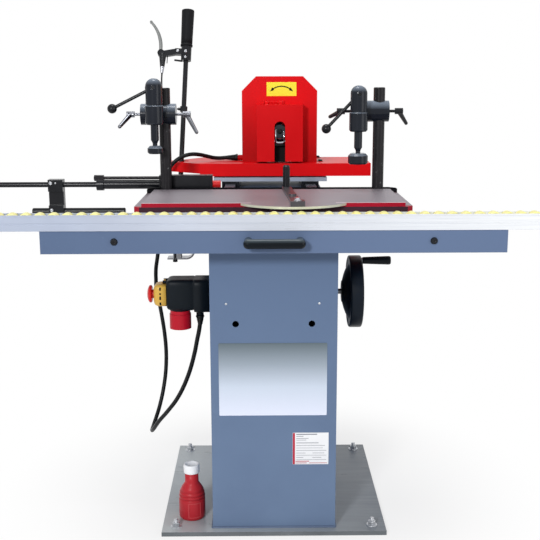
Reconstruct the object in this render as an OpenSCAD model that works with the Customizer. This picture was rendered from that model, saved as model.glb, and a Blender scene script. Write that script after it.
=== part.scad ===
// Slot mortiser: pedestal, rising table with clamps and roller support,
// and a drilling head on a compound slide that is moved by one joystick lever.
// Millimetres, +X to the right of the operator, +Y away from the operator, +Z up.

/* [Floor plate and column] */
// Side of the square floor plate
base_side = 600; // [560:5:800]
// Floor plate thickness
base_thickness = 12; // [8:1:20]
// Distance of a levelling bolt from the plate's edge
bolt_inset = 36; // [30:1:60]
// Levelling bolt thread
bolt_diameter = 16; // [10:1:20]
// Column width
column_width = 328; // [300:2:400]
// Column depth, front to back
column_depth = 560; // [540:5:570]
// Column height above the floor plate
column_height = 754; // [720:2:900]
// Column sheet thickness
column_wall = 4; // [3:0.5:8]
// Distance of the column's front from the plate's front edge
column_setback = 25; // [15:1:30]
// Cover plate on the column
cover_thickness = 10; // [8:1:14]
// Access holes in the column's front
access_hole = 17; // [10:1:24]
// Spacing of the access holes
access_spacing = 196; // [120:2:220]
// Height of the access holes above the floor plate
access_height = 565; // [400:5:640]

/* [Table] */
// Table plate width
table_width = 660; // [640:5:690]
// Table plate depth
table_depth = 290; // [280:2:300]
// Table plate thickness
table_thickness = 10; // [8:1:14]
// Width of the casting under the table
casting_width = 700; // [694:2:712]
// Height of the casting under the table
casting_height = 34; // [30:1:44]
// Casting's wall round its pockets
casting_wall = 12; // [8:1:20]
// Bar behind the table, front to back
rear_bar_depth = 46; // [42:1:50]
// Bar behind the table, height
rear_bar_height = 22; // [20:1:30]
// Radius of the mitre segment
arc_radius = 157; // [150:1:162]
// Mitre segment's thickness
arc_thickness = 6; // [4:0.5:8]
// Mitre pivot from the machine's middle
pivot_x = 50; // [0:1:80]
// Mitre bar width
mitre_width = 25; // [20:1:32]
// Mitre bar thickness
mitre_thickness = 8; // [6:0.5:12]
// Mitre bar's angle at rest, in degrees
mitre_angle = 3; // [-5:0.5:5]
// Stop pin at the rear of the mitre bar
stop_pin_diameter = 20; // [14:1:24]
// Stop pin height over the bar
stop_pin_height = 60; // [40:1:70]

/* [Roller support] */
// Length of the cross beam
beam_length = 1120; // [900:10:1300]
// Beam height
beam_height = 56; // [50:1:60]
// Beam depth
beam_depth = 40; // [34:1:44]
// Beam sheet thickness
beam_wall = 3; // [2:0.5:5]
// Length of the roller rail
rail_length = 1500; // [1200:10:1600]
// Rail height
rail_height = 35; // [32:1:46]
// Rail width
rail_width = 40; // [36:1:44]
// Rail wall
rail_wall = 4; // [3:0.5:6]
// Roller pitch
roller_pitch = 33; // [31:0.5:60]
// Roller diameter
roller_diameter = 28; // [20:1:30]
// Roller standing above the rail
roller_rise = 7; // [4:0.5:9]
// Guide rod diameter
guide_rod = 20; // [16:1:24]
// Distance of each guide rod outside the casting
guide_outset = 33; // [30:1:50]
// Pull handle length
handle_length = 148; // [120:2:200]
// Pull handle thickness
handle_diameter = 24; // [18:1:28]

/* [Table lift] */
// Height between the column's cover and the casting at the lowest setting
lift_gap = 70; // [68:1:110]
// Handwheel diameter
wheel_diameter = 200; // [160:5:240]
// Handwheel rim thickness
wheel_rim = 35; // [24:1:44]
// Height of the handwheel shaft over the floor plate
wheel_height = 601; // [560:1:620]
// Handwheel shaft diameter
wheel_shaft = 15; // [12:1:20]
// Gap between the column and the handwheel's hub
wheel_reach = 27; // [10:1:50]
// Crank grip diameter
crank_diameter = 24; // [18:1:30]
// Crank grip length
crank_length = 78; // [60:1:100]
// Lift screw diameter
screw_diameter = 20; // [18:1:24]
// Guide post diameter
guide_post = 40; // [30:1:46]
// Teeth on each bevel gear
bevel_teeth = 20; // [16:2:24]
// Pitch radius of each bevel gear
bevel_radius = 25; // [22:0.5:28]

/* [Drilling head] */
// Height of the head's bed over the column cover
bed_height = 92; // [88:1:130]
// Bed plate thickness
bed_thickness = 12; // [10:1:20]
// Bed plate width
bed_width = 300; // [280:2:320]
// Slide rail width
slide_rail_width = 30; // [24:1:40]
// Slide rail height
slide_rail_height = 14; // [10:1:16]
// Spacing of the slide rails
slide_spacing = 240; // [200:2:240]
// Saddle plate width
saddle_width = 342; // [320:2:346]
// Saddle plate depth
saddle_depth = 212; // [200:2:216]
// Saddle plate thickness
saddle_thickness = 12; // [10:1:16]
// Head plate depth
plate_depth = 226; // [220:2:240]
// Head plate's right end from the machine's middle
plate_right = 300; // [260:2:320]
// Head plate sheet
plate_sheet = 6; // [4:0.5:8]
// Head plate height over its flanges
plate_height = 38; // [34:1:46]
// Lever hole in the head plate
lever_hole = 50; // [49:0.5:54]
// Hood width
hood_width = 228; // [210:2:240]
// Hood height over the head plate
hood_height = 257; // [240:2:280]
// Hood depth
hood_depth = 176; // [160:2:190]
// Cut corners of the hood
hood_chamfer = 43; // [20:1:60]
// Hood and guard sheet
sheet = 2.5; // [1.5:0.5:4]
// Spindle height over the head plate
spindle_height = 95; // [90:1:110]
// Head's middle from the machine's middle
head_x = 26; // [0:1:40]
// Guard width
guard_width = 138; // [120:2:150]
// Guard height
guard_height = 169; // [160:1:180]
// Slot in the guard
guard_slot = 32; // [26:1:44]
// Chuck diameter
chuck_diameter = 62; // [50:1:68]
// Chuck bore
chuck_bore = 16; // [10:1:20]
// Motor frame diameter
motor_diameter = 150; // [130:2:160]

/* [Joystick lever] */
// Lever rod diameter
lever_diameter = 15; // [12:0.5:15]
// Lever length over its universal joint
lever_length = 745; // [700:5:800]
// Lever's lean to the right at rest, in degrees
lever_lean_x = 2.6; // [0:0.1:3]
// Lever's lean to the back at rest, in degrees
lever_lean_y = 15; // [12:0.5:16]
// Grip diameter
grip_diameter = 36; // [30:1:42]
// Grip length
grip_length = 114; // [90:2:130]

/* [Clamps] */
// Clamp post diameter
post_diameter = 32; // [25:1:36]
// Clamp post height over the table
post_height = 279; // [260:1:340]
// Distance of each clamp post from the end of the casting
post_inset = 53; // [46:1:70]
// Cross barrel diameter
barrel_diameter = 58; // [54:1:64]
// Clamp head diameter, lower part
head_diameter = 50; // [44:1:56]
// Clamp head diameter, upper housing
housing_diameter = 46; // [44:1:48]
// Plunger diameter
plunger_diameter = 22; // [16:1:22]
// Ball knob diameter
knob_diameter = 26; // [20:1:32]
// Cam lever length
cam_lever = 127; // [90:1:150]

/* [End stop] */
// Outer stop tube diameter
stop_tube_diameter = 26; // [24:0.5:28]
// Sliding rod diameter
slide_rod_diameter = 15; // [12:0.5:18]
// Slide rod length
slide_rod_length = 500; // [470:5:560]
// Stop plate height
stop_plate_height = 104; // [100:1:120]
// Stop plate width
stop_plate_width = 42; // [30:1:60]
// Lower stop rod diameter
stop_rod_diameter = 20; // [12:0.5:22]
// Stop rod length
stop_rod_length = 266; // [240:2:300]

/* [Switch and plug] */
// Switch box height
switch_height = 88; // [80:1:110]
// Switch box depth, front to back
switch_depth = 82; // [76:1:100]
// Yellow lid side
lid_side = 60; // [52:1:66]
// Stop button diameter
button_diameter = 48; // [36:1:56]
// Power inlet diameter
inlet_diameter = 58; // [52:1:64]
// Loose plug diameter
plug_diameter = 69; // [60:1:76]

/* [Hidden] */
$fn = 48;
fit = 0.05;
run = 0.3;
eps = 0.5;

// Levels, from the floor up
column_base_z = base_thickness;
cover_z = column_base_z + column_height;
cover_top = cover_z + cover_thickness;
casting_z = cover_top + lift_gap;
table_z = casting_z + casting_height;
table_top_z = table_z + table_thickness;
shaft_z = base_thickness + wheel_height;
rod_z = casting_z - 33;

// Places across the floor
column_front = -base_side / 2 + column_setback;
column_back = column_front + column_depth;
column_side = column_width / 2;
table_back = 10;
table_front = table_back - table_depth;
bar_back = table_back + rear_bar_depth;
screw_y = -60;
guide_y = -140;
guide_x = 100;
pivot_y = -195;

// Slide of the head
bed_top = cover_top + bed_height;
bed_front = 100;
bed_back = 440;
rail_top = bed_top + slide_rail_height;
saddle_z = rail_top + 6;
saddle_top = saddle_z + saddle_thickness;
way_height = 12;
slide_mid = -3;
way_width = 24;
plate_front = 225;
plate_z = saddle_top + 4;
plate_top = plate_z + plate_height;
plate_back = plate_front + plate_depth;
saddle_front = plate_front + 1;
saddle_back = saddle_front + saddle_depth;
ways_y = [saddle_front + 45, saddle_back - 40];
runner_left = -39;
runner_right = 58;
spindle_z = plate_top + spindle_height;
hood_front = plate_front + 55;
hood_back = hood_front + hood_depth;
motor_front = hood_front + 34;
motor_back = motor_front + 200;
guard_front = plate_front + 3;
guard_base = plate_top + 5;
guard_top = guard_base + guard_height;
guard_hinge = [hood_front - 6, guard_top + 6];
hinge_pin = 4;

// Joystick lever
lug_thickness = 25;
lug_z = plate_top - 5 - lug_thickness;
joint_z = lug_z + lug_thickness / 2 - 242.5;
joint_x = -290;
joint_y = 255;
trunnion = 10;
lug_x = joint_x + 242.5 * tan(lever_lean_x);
lug_y = joint_y + 242.5 * tan(lever_lean_y) / cos(lever_lean_x);
lug_radius = lever_hole / 2 + 11;
brake_l = lever_length - grip_length - 22;
brake_x = -81;
barrel_x = brake_x + 8;
blade_curve = 113;
boss_l = brake_l - 177;
barrel_boss = -barrel_x - 17;

// Roller support
guide_spacing = casting_width + 2 * guide_outset;
beam_front = -395;
beam_back = beam_front + beam_depth;
beam_z = rod_z - 29;
rail_z = beam_z + beam_height;
rail_front = beam_front - 5;
rail_mid = rail_front + rail_width / 2;
roller_z = rail_z + rail_height + roller_rise - roller_diameter / 2;
roller_count = floor((rail_length - roller_diameter) / roller_pitch) + 1;
roller_width = rail_width - 2 * rail_wall - 4;
rod_back = 45;
block_front = -225;
block_back = -175;

// Clamps: post, head beside its post, height of the barrel over the table, drop of the head
post_spacing = casting_width - 2 * post_inset;
post_y = table_back + 20;
head_y = post_y - 53;
left_post_x = -post_spacing / 2;
right_post_x = post_spacing / 2;
left_head_dx = -23;
right_head_dx = -62;
left_barrel = [-65, 32];
right_barrel = [-77, 26];
left_barrel_z = table_top_z + 207;
right_barrel_z = table_top_z + 214;
left_split_z = left_barrel_z + 26;
right_split_z = right_barrel_z - 1;
cam_z = 48;
cam_pin = 10;
cam_radius = 17;
cam_throw = 6;
cam_rest = 26.5;
cam_width = 15;
cam_phase = 20;
plunger_rate = 5.6;
lower_height = 52;
lower_fillet = 4;
stud = 8;
stud_depth = 8;

// End stop
stop_y = 72;
tube_z = table_top_z + 8;
brace_diameter = 9;
brace_z = tube_z + stop_tube_diameter / 2 + brace_diameter / 2 + 1;
block_left = -320;
block_right = -169;
tube_left = -499;
plate_x = -636;
stop_rod_z = tube_z - 77;

// Switch and plug
switch_y = -150;
switch_z = 629;
switch_left = -284;
switch_step = -210;
lid_hinge = [switch_left - 6, switch_z + lid_side / 2 + 5];
lid_depth = 33;
inlet_x = -250;
inlet_height = 50;
gland_x = -197;
gland_length = 16;
plug_x = -224;
plug_y = -205;

// Colours
blue_grey = [0.42, 0.48, 0.56];
light_grey = [0.68, 0.70, 0.72];
red = [0.80, 0.06, 0.08];
black = [0.07, 0.07, 0.08];
steel = [0.66, 0.67, 0.69];
bronze = [0.72, 0.54, 0.28];
yellow = [0.95, 0.80, 0.10];
alloy = [0.82, 0.83, 0.85];

// Routes of the cables, from end to end
cable_diameter = 12;
bowden_diameter = 5;
motor_route = [[-102, 335, 951], [-120, 335, 951], [-138, 335, 951], [-158, 331, 950], [-178, 323, 952],
  [-198, 312, 958], [-218, 300, 965], [-238, 289, 968], [-257, 279, 966], [-275, 271, 959], [-291, 265, 948],
  [-304, 261, 934], [-313, 260, 917], [-317, 260, 899], [-318, 260, 880], [-318, 260, 868]];
drop_route = [[-318, 260, 868], [-318, 260, 852], [-320, 259, 830], [-324, 257, 804], [-329, 253, 775],
  [-335, 248, 743], [-341, 241, 710], [-347, 233, 676], [-351, 226, 648], [-354, 220, 626], [-355, 217, 606],
  [-355, 217, 590]];
loop_route = [[-355, 217, 590], [-355, 217, 568], [-351, 215, 540], [-344, 211, 506], [-332, 203, 428],
  [-327, 195, 363], [-329, 184, 302], [-337, 168, 246], [-348, 147, 199], [-359, 116, 166], [-363, 77, 155],
  [-354, 39, 172], [-333, 4, 210], [-305, -26, 250], [-275, -54, 296], [-251, -78, 345], [-231, -100, 399],
  [-216, -120, 454], [-207, -136, 497], [-201, -145, 524], [-197, -150, 551], [-197, -150, 570]];
bowden_route = [for (p = [[0, 0, 111], [0, 0, 95], [1, 1, 72], [4, 2, 49], [11, 3, 29], [22, 3, 13],
  [38, 2, 3], [46, 0, 0], [barrel_boss, 0, 0]]) [barrel_x + p[0], p[1], boss_l + p[2]]];

module block(x0, x1, y0, y1, z0, z1) {
  translate([x0, y0, z0]) cube([x1 - x0, y1 - y0, z1 - z0]);
}

module x_rod(d, x0, x1, y, z) {
  translate([x0, y, z]) rotate([0, 90, 0]) cylinder(d = d, h = x1 - x0);
}

module y_rod(d, y0, y1, x, z) {
  translate([x, y0, z]) rotate([-90, 0, 0]) cylinder(d = d, h = y1 - y0);
}

module z_rod(d, z0, z1, x, y) {
  translate([x, y, z0]) cylinder(d = d, h = z1 - z0);
}

module tube(d, bore, z0, z1, x, y) {
  difference() {
    z_rod(d, z0, z1, x, y);
    z_rod(bore, z0 - eps, z1 + eps, x, y);
  }
}

module round_square(w, h, r) {
  square([w - 2 * r, h], center = true);
  square([w, h - 2 * r], center = true);
  for (i = [-1, 1], j = [-1, 1]) translate([i * (w / 2 - r), j * (h / 2 - r)]) circle(r = r);
}

// A box with rounded edges along X, of width w in Y and height h in Z
module x_prism(x0, x1, y, z, w, h, r) {
  translate([x0, y, z]) rotate([90, 0, 90]) linear_extrude(x1 - x0) round_square(w, h, r);
}

// A tube swept along a route, as one closed skin
function unit(v) = v / norm(v);
function along(p, i) = unit(p[min(i + 1, len(p) - 1)] - p[max(i - 1, 0)]);
function side_of(t) = unit(cross(t, abs(t[0]) < 0.8 ? [1, 0, 0] : [0, 1, 0]));
function carried(p, i) = i == 0 ? side_of(along(p, 0))
  : let (s = carried(p, i - 1), t = along(p, i)) unit(s - (s * t) * t);
function ring(c, t, s, r, n) = let (u = cross(t, s))
  [for (k = [0 : n - 1]) c + r * (cos(360 * k / n) * s + sin(360 * k / n) * u)];

module cable(route, diameter, n = 8) {
  last = len(route) - 1;
  points = [for (i = [0 : last]) each ring(route[i], along(route, i), carried(route, i), diameter / 2, n)];
  skin = [for (i = [0 : last - 1], k = [0 : n - 1])
    [i * n + k, i * n + (k + 1) % n, (i + 1) * n + (k + 1) % n, (i + 1) * n + k]];
  ends = [[for (k = [n - 1 : -1 : 0]) k], [for (k = [0 : n - 1]) last * n + k]];
  polyhedron(points, [for (f = concat(skin, ends)) [for (k = [len(f) - 1 : -1 : 0]) f[k]]]);
}

// Floor plate and column
module base_plate() {
  color(light_grey) difference() {
    block(-base_side / 2, base_side / 2, -base_side / 2, base_side / 2, 0, base_thickness);
    at_bolts() z_rod(bolt_diameter + 2 * fit, -eps, base_thickness + eps, 0, 0);
  }
}

module at_bolts() {
  reach = base_side / 2 - bolt_inset;
  for (x = [-reach, reach], y = [-reach, reach]) translate([x, y, 0]) children();
}

module levelling_bolts() {
  nut = 0.75 * bolt_diameter;
  head = 0.62 * bolt_diameter;
  color(steel) at_bolts() {
    difference() {
      translate([0, 0, base_thickness]) cylinder(d = 1.73 * bolt_diameter, h = nut, $fn = 6);
      z_rod(bolt_diameter + 2 * fit, 0, base_thickness + nut + eps, 0, 0);
    }
    z_rod(bolt_diameter, 1, base_thickness + nut + eps, 0, 0);
    translate([0, 0, base_thickness + nut]) rotate(20) cylinder(d = 1.73 * bolt_diameter, h = head, $fn = 6);
  }
}

module column() {
  inner = column_side - column_wall;
  color(blue_grey) difference() {
    block(-column_side, column_side, column_front, column_back, column_base_z, cover_z);
    block(-inner, inner, column_front + column_wall, column_back - column_wall, column_base_z - eps,
      cover_z + eps);
    for (s = [-1, 1]) y_rod(access_hole, column_front - eps, column_front + column_wall + eps,
      s * access_spacing / 2, base_thickness + access_height);
    x_rod(40 + 2 * fit, inner - eps, column_side + eps, screw_y, shaft_z);
  }
}

module column_top() {
  color(blue_grey) difference() {
    block(-column_side, column_side, column_front, column_back, cover_z, cover_top);
    for (s = [-1, 1]) z_rod(guide_post + 16 + 2 * fit, cover_z - eps, cover_top + eps, s * guide_x, guide_y);
    z_rod(screw_diameter + 36, cover_z - eps, cover_top + eps, 0, screw_y);
  }
}

// Bridge inside the column, with the bushes of the guides, the screw and the shaft
bridge_z = shaft_z + bevel_radius + 17;
bridge_thickness = 12;
bridge_top = bridge_z + bridge_thickness;
bush_wall = 7;
ear_x = bevel_radius + 35;
ear_width = 14;
bush_length = 130;

module lift_housing() {
  inner = column_side - column_wall;
  shaft_bush = wheel_shaft + bush_wall;
  screw_bush = screw_diameter - 4 + 2 * bush_wall;
  color(blue_grey) difference() {
    union() {
      block(-inner, inner, screw_y - 40, screw_y + 40, bridge_z, bridge_top);
      block(ear_x, ear_x + ear_width, screw_y - 25, screw_y + 25, shaft_z - 33, bridge_z + eps);
    }
    x_rod(shaft_bush + 2 * fit, ear_x - eps, ear_x + ear_width + eps, screw_y, shaft_z);
    z_rod(screw_bush + 2 * fit, bridge_z - eps, bridge_top + eps, 0, screw_y);
  }
  color(bronze) {
    tube(screw_bush, screw_diameter - 4 + 2 * fit, bridge_z, bridge_top + 2, 0, screw_y);
    difference() {
      x_rod(shaft_bush, ear_x - 2, ear_x + ear_width + 2, screw_y, shaft_z);
      x_rod(wheel_shaft + 2 * fit, ear_x - 3, ear_x + ear_width + 3, screw_y, shaft_z);
    }
    for (s = [-1, 1]) difference() {
      union() {
        z_rod(guide_post + 16, cover_top - bush_length + 6, cover_top + 6, s * guide_x, guide_y);
        z_rod(guide_post + 32, cover_top, cover_top + 6, s * guide_x, guide_y);
      }
      z_rod(guide_post + 2 * fit, cover_top - bush_length, cover_top + 7, s * guide_x, guide_y);
    }
    difference() {
      union() {
        x_rod(40, inner - 6, column_side, screw_y, shaft_z);
        x_rod(56, inner - 6, inner, screw_y, shaft_z);
      }
      x_rod(wheel_shaft + 2 * fit, inner - 7, column_side + 1, screw_y, shaft_z);
    }
  }
}

// A straight bevel gear whose pitch cone has its apex at the origin and opens along +Z
module bevel_gear(bore, hub, turn) {
  addendum = 0.056 * bevel_radius;
  dedendum = 0.075 * bevel_radius;
  inner = 0.68;
  tip = [bevel_radius + addendum, bevel_radius - addendum];
  root = [bevel_radius - dedendum, bevel_radius + dedendum];
  back = root[1] + 4;
  half = 360 / bevel_teeth * 0.21;
  reach = 2 * bevel_radius;
  difference() {
    union() {
      rotate_extrude() polygon([[0, inner * root[1]], inner * root, root, [root[0], back - 1],
        [bore / 2 + 7, back], [bore / 2 + 7, back + hub], [0, back + hub]]);
      intersection() {
        rotate_extrude() polygon([inner * tip, tip, root + [-1, 1], inner * root + [-1, 1]]);
        linear_extrude(reach) for (k = [0 : bevel_teeth - 1]) rotate(turn + 360 * k / bevel_teeth)
          polygon([[0, 0], [reach * cos(half), -reach * sin(half)], [reach * cos(half), reach * sin(half)]]);
      }
    }
    cylinder(d = bore + 2 * fit, h = back + hub + 1);
  }
}

module lift_screw() {
  journal = screw_diameter - 4;
  gear_inner = 0.68 * 1.075 * bevel_radius;
  color(steel) {
    z_rod(journal, shaft_z + gear_inner - 2, bridge_top + 4, 0, screw_y);
    z_rod(screw_diameter + 8, bridge_top + 2 + fit, bridge_top + 5, 0, screw_y);
    z_rod(screw_diameter, bridge_top + 4, casting_z - 11, 0, screw_y);
    translate([0, screw_y, shaft_z]) bevel_gear(journal, 4, 0);
  }
}

module cross_shaft() {
  color(steel) {
    x_rod(wheel_shaft, 0.68 * bevel_radius + 2, column_side + wheel_reach + 45, screw_y, shaft_z);
    translate([0, screw_y, shaft_z]) rotate([0, 90, 0]) bevel_gear(wheel_shaft, 12, 180 / bevel_teeth);
  }
}

// Dished handwheel with the pin of its crank
wheel_x = column_side + wheel_reach;
rim_x = wheel_x + 36.5;
rim_depth = 20;
rim_radius = wheel_diameter / 2 - 13;
crank_pin = 10;

module handwheel() {
  hub = wheel_shaft / 2 + 15;
  edge = wheel_diameter / 2;
  low = rim_x - wheel_x - wheel_rim / 2;
  high = low + wheel_rim;
  color(black) translate([wheel_x, screw_y, shaft_z]) rotate([0, 90, 0]) difference() {
    rotate_extrude() polygon([[0, 0], [hub - 2, 0], [hub, 2], [hub, 8], [edge - rim_depth, low + 1],
      [edge - 9, low], [edge - 4, low + 2], [edge - 1, low + 7], [edge, low + 12], [edge, high - 12],
      [edge - 1, high - 7], [edge - 4, high - 2], [edge - 9, high], [edge - rim_depth, high - 1],
      [edge - rim_depth, low + 15], [hub + 8, 22], [hub, 26], [hub, high - 4], [0, high - 4]]);
    translate([0, 0, -eps]) cylinder(d = wheel_shaft + 2 * fit, h = high + 1);
    translate([-rim_radius, 0, high - 15]) cylinder(d = crank_pin + 2 * fit, h = 20);
  }
  color(steel) {
    x_rod(crank_pin, rim_x + wheel_rim / 2 - 15, rim_x + wheel_rim / 2 + crank_length - 6, screw_y,
      shaft_z + rim_radius);
    x_rod(crank_pin + 6, rim_x + wheel_rim / 2, rim_x + wheel_rim / 2 + 3, screw_y, shaft_z + rim_radius);
  }
}

// Crank grip that turns on the pin
module crank_grip() {
  x0 = rim_x + wheel_rim / 2 + 3 + run;
  color(black) translate([x0, screw_y, shaft_z + rim_radius]) rotate([0, 90, 0]) difference() {
    rotate_extrude() polygon([[0, 0], [0.36 * crank_diameter, 0], [0.4 * crank_diameter, 2],
      [0.5 * crank_diameter, crank_length - 6], [0.47 * crank_diameter, crank_length - 2],
      [0.4 * crank_diameter, crank_length], [0, crank_length]]);
    translate([0, 0, -eps]) cylinder(d = crank_pin + 2 * fit, h = crank_length - 4);
  }
}

// Table
module table_top() {
  color(steel) difference() {
    block(-table_width / 2, table_width / 2, table_front, table_back, table_z, table_top_z);
    z_rod(12 + 2 * fit, table_z - eps, table_top_z + eps, pivot_x, pivot_y);
  }
}

module arc_plate() {
  color(light_grey) intersection() {
    z_rod(2 * arc_radius, table_top_z - arc_thickness, table_top_z, pivot_x, pivot_y);
    block(pivot_x - arc_radius, pivot_x + arc_radius, pivot_y - arc_radius - eps, table_front,
      table_top_z - arc_thickness - eps, table_top_z + eps);
  }
}

module table_base() {
  side = casting_width / 2;
  front = table_front;
  rib = guide_x + guide_post / 2 + 12;
  color(red) difference() {
    union() {
      block(-side, side, front, table_back, casting_z, table_z);
      block(pivot_x - 60, pivot_x + 60, front - 38, front, table_z - 16, table_top_z - arc_thickness);
      block(pivot_x - 60, pivot_x + 60, front - 10, front + eps, table_z - 16, table_z - 1);
    }
    for (s = [-1, 1]) {
      x0 = s > 0 ? rib : -side + casting_wall;
      x1 = s > 0 ? side - casting_wall : -rib;
      mid = (x0 + x1) / 2;
      block(x0, mid - 5, front + casting_wall, table_back - casting_wall, casting_z - eps,
        table_z - casting_wall);
      block(mid + 5, x1, front + casting_wall, table_back - casting_wall, casting_z - eps,
        table_z - casting_wall);
    }
    z_rod(screw_diameter + 4, casting_z - eps, table_z - casting_wall, 0, screw_y);
    z_rod(12 + 2 * fit, casting_z - eps, table_z + eps, pivot_x, pivot_y);
    for (s = [-1, 1]) translate([s * side, front, 0]) rotate(45) cube([20, 20, 4 * table_z], center = true);
  }
}

module rear_bar() {
  side = casting_width / 2;
  color(black) difference() {
    block(-side, side, table_back, bar_back, table_top_z - rear_bar_height, table_top_z);
    for (x = [left_post_x, right_post_x])
      z_rod(post_diameter + 2 * fit, table_z - 200, table_top_z + eps, x, post_y);
    for (s = [-1, 1]) translate([s * side, bar_back, 0]) rotate(45) cube([26, 26, 4 * table_z],
      center = true);
  }
}

module lift_guides() {
  color(steel) {
    for (s = [-1, 1]) z_rod(guide_post, casting_z - 300, casting_z, s * guide_x, guide_y);
    difference() {
      z_rod(screw_diameter + 30, bridge_top + 23, casting_z, 0, screw_y);
      z_rod(screw_diameter + 2 * fit, bridge_top + 22, casting_z + eps, 0, screw_y);
      z_rod(screw_diameter + 4, bridge_top + 58, casting_z + eps, 0, screw_y);
    }
  }
}

module support_carrier() {
  half = casting_width / 2 + 2;
  block_half = guide_spacing / 2 - half;
  color(blue_grey) difference() {
    block(-half, half, block_front, block_back, casting_z - 50, casting_z);
    block(-half - eps, half + eps, block_front + 4, block_back - 4, casting_z - 46, casting_z - 4);
  }
  color(black) for (s = [-1, 1]) difference() {
    translate([s * guide_spacing / 2, (block_front + block_back) / 2, rod_z])
      cube([2 * block_half, block_back - block_front, 50], center = true);
    y_rod(guide_rod + 2 * fit, block_front - eps, block_back + eps, s * guide_spacing / 2, rod_z);
  }
}

module clamp_post(x) {
  color(black) {
    z_rod(post_diameter, table_top_z - rear_bar_height, table_top_z + post_height - 2, x, post_y);
    translate([x, post_y, table_top_z + post_height - 2])
      cylinder(d1 = post_diameter, d2 = post_diameter - 4, h = 2);
  }
}

module left_post() {
  clamp_post(left_post_x);
}

module right_post() {
  clamp_post(right_post_x);
}

// Mitre bar with its pivot bolt and clamp screw
module at_mitre() {
  translate([pivot_x, pivot_y, table_top_z]) rotate(mitre_angle) children();
}

bar_rear = 200;
bar_front = -150;

module mitre_bar() {
  color(steel) at_mitre() {
    difference() {
      union() {
        block(-mitre_width / 2, mitre_width / 2, bar_front + 10, bar_rear, 0, mitre_thickness);
        z_rod(mitre_width, 0, mitre_thickness, 0, bar_rear);
        block(-mitre_width / 2 - 5, mitre_width / 2 + 5, bar_front - 6, bar_front + 22, 0,
          mitre_thickness + 6);
      }
      z_rod(12 + 2 * fit, -eps, mitre_thickness + eps, 0, 0);
      z_rod(stop_pin_diameter - 8 + 2 * fit, -eps, mitre_thickness + eps, 0, bar_rear);
      z_rod(8 + 2 * fit, -eps, mitre_thickness + 7, 0, bar_front + 8);
    }
    z_rod(12, table_z - table_top_z, mitre_thickness + eps, 0, 0);
    z_rod(20, mitre_thickness, mitre_thickness + 5, 0, 0);
    z_rod(8, eps, mitre_thickness + 7, 0, bar_front + 8);
    z_rod(18, mitre_thickness + 6, mitre_thickness + 8, 0, bar_front + 8);
    translate([0, bar_front + 8, mitre_thickness + 8 - eps]) cylinder(d = 14, h = 6, $fn = 6);
  }
}

module stop_pin() {
  color(black) at_mitre() {
    z_rod(stop_pin_diameter - 8, 1, mitre_thickness + eps, 0, bar_rear);
    z_rod(stop_pin_diameter, mitre_thickness, mitre_thickness + stop_pin_height - 4, 0, bar_rear);
    translate([0, bar_rear, mitre_thickness + stop_pin_height - 4])
      cylinder(d1 = stop_pin_diameter, d2 = stop_pin_diameter - 8, h = 4);
  }
}

// Roller support that pulls out towards the operator
module support_beam() {
  half = beam_length / 2;
  color(blue_grey) difference() {
    block(-half, half, beam_front, beam_back, beam_z, beam_z + beam_height);
    block(-half - eps, half + eps, beam_front + beam_wall, beam_back - beam_wall,
      beam_z + beam_wall, beam_z + beam_height - beam_wall);
    for (s = [-1, 1]) y_rod(guide_rod + 2 * fit, beam_front + beam_wall, beam_back + eps,
      s * guide_spacing / 2, rod_z);
    for (s = [-1, 1]) y_rod(10, beam_front - eps, beam_front + beam_wall + eps, s * guide_spacing / 2, rod_z);
  }
}

module guide_rods() {
  color(steel) for (s = [-1, 1]) {
    y_rod(guide_rod, beam_front + beam_wall, rod_back, s * guide_spacing / 2, rod_z);
    y_rod(10 - 2 * fit, beam_front - eps, beam_front + beam_wall + eps, s * guide_spacing / 2, rod_z);
    difference() {
      translate([s * guide_spacing / 2, beam_front, rod_z]) rotate([90, 0, 0]) cylinder(d1 = 18,
        d2 = 14, h = 5);
      translate([s * guide_spacing / 2, beam_front - 2, rod_z]) rotate([90, 0, 0]) cylinder(d = 7,
        h = 6, $fn = 6);
    }
  }
}

module roller_rail() {
  half = rail_length / 2;
  floor_z = rail_z + rail_wall;
  color(alloy) difference() {
    block(-half, half, rail_front, rail_front + rail_width, rail_z, rail_z + rail_height);
    block(-half - eps, half + eps, rail_front + rail_wall, rail_front + rail_width - rail_wall,
      floor_z, rail_z + rail_height + eps);
    block(-half - eps, half + eps, rail_front - eps, rail_front + 1, rail_z + 0.45 * rail_height,
      rail_z + 0.45 * rail_height + 3);
    at_rollers() y_rod(6 + 2 * fit, rail_front + 1.5, rail_front + rail_width - 1.5, 0, roller_z);
  }
}

module at_rollers() {
  span = (roller_count - 1) * roller_pitch;
  for (k = [0 : roller_count - 1]) translate([k * roller_pitch - span / 2, 0, 0]) children();
}

module rollers() {
  half = roller_width / 2;
  color(yellow) at_rollers() translate([0, rail_mid, roller_z]) rotate([90, 0, 0]) rotate_extrude()
    polygon([[0, -half - 3], [3, -half - 3], [3, -half], [roller_diameter / 2 - 2, -half],
      [roller_diameter / 2, -half + 2], [roller_diameter / 2, half - 2], [roller_diameter / 2 - 2, half],
      [3, half], [3, half + 3], [0, half + 3]]);
}

module pull_handle() {
  reach = 36;
  half = (handle_length - handle_diameter) / 2;
  y = beam_front - reach;
  color(black) {
    x_rod(handle_diameter, -half, half, y, rod_z);
    for (s = [-1, 1]) {
      translate([s * half, y, rod_z]) sphere(d = handle_diameter);
      y_rod(handle_diameter - 2, y, beam_front, s * half, rod_z);
    }
  }
}

// Clamps
module barrel(post_x, span, z) {
  difference() {
    x_rod(barrel_diameter, post_x + span[0], post_x + span[1], post_y, z);
    z_rod(post_diameter + 2 * fit, z - barrel_diameter, z + barrel_diameter, post_x, post_y);
    x_rod(stud + 2 * fit, post_x + span[0] - eps, post_x + span[0] + stud_depth + 1, post_y, z);
    x_rod(stud + 2 * fit, post_x + span[1] - stud_depth - 1, post_x + span[1] + eps, post_y, z);
  }
}

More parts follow.
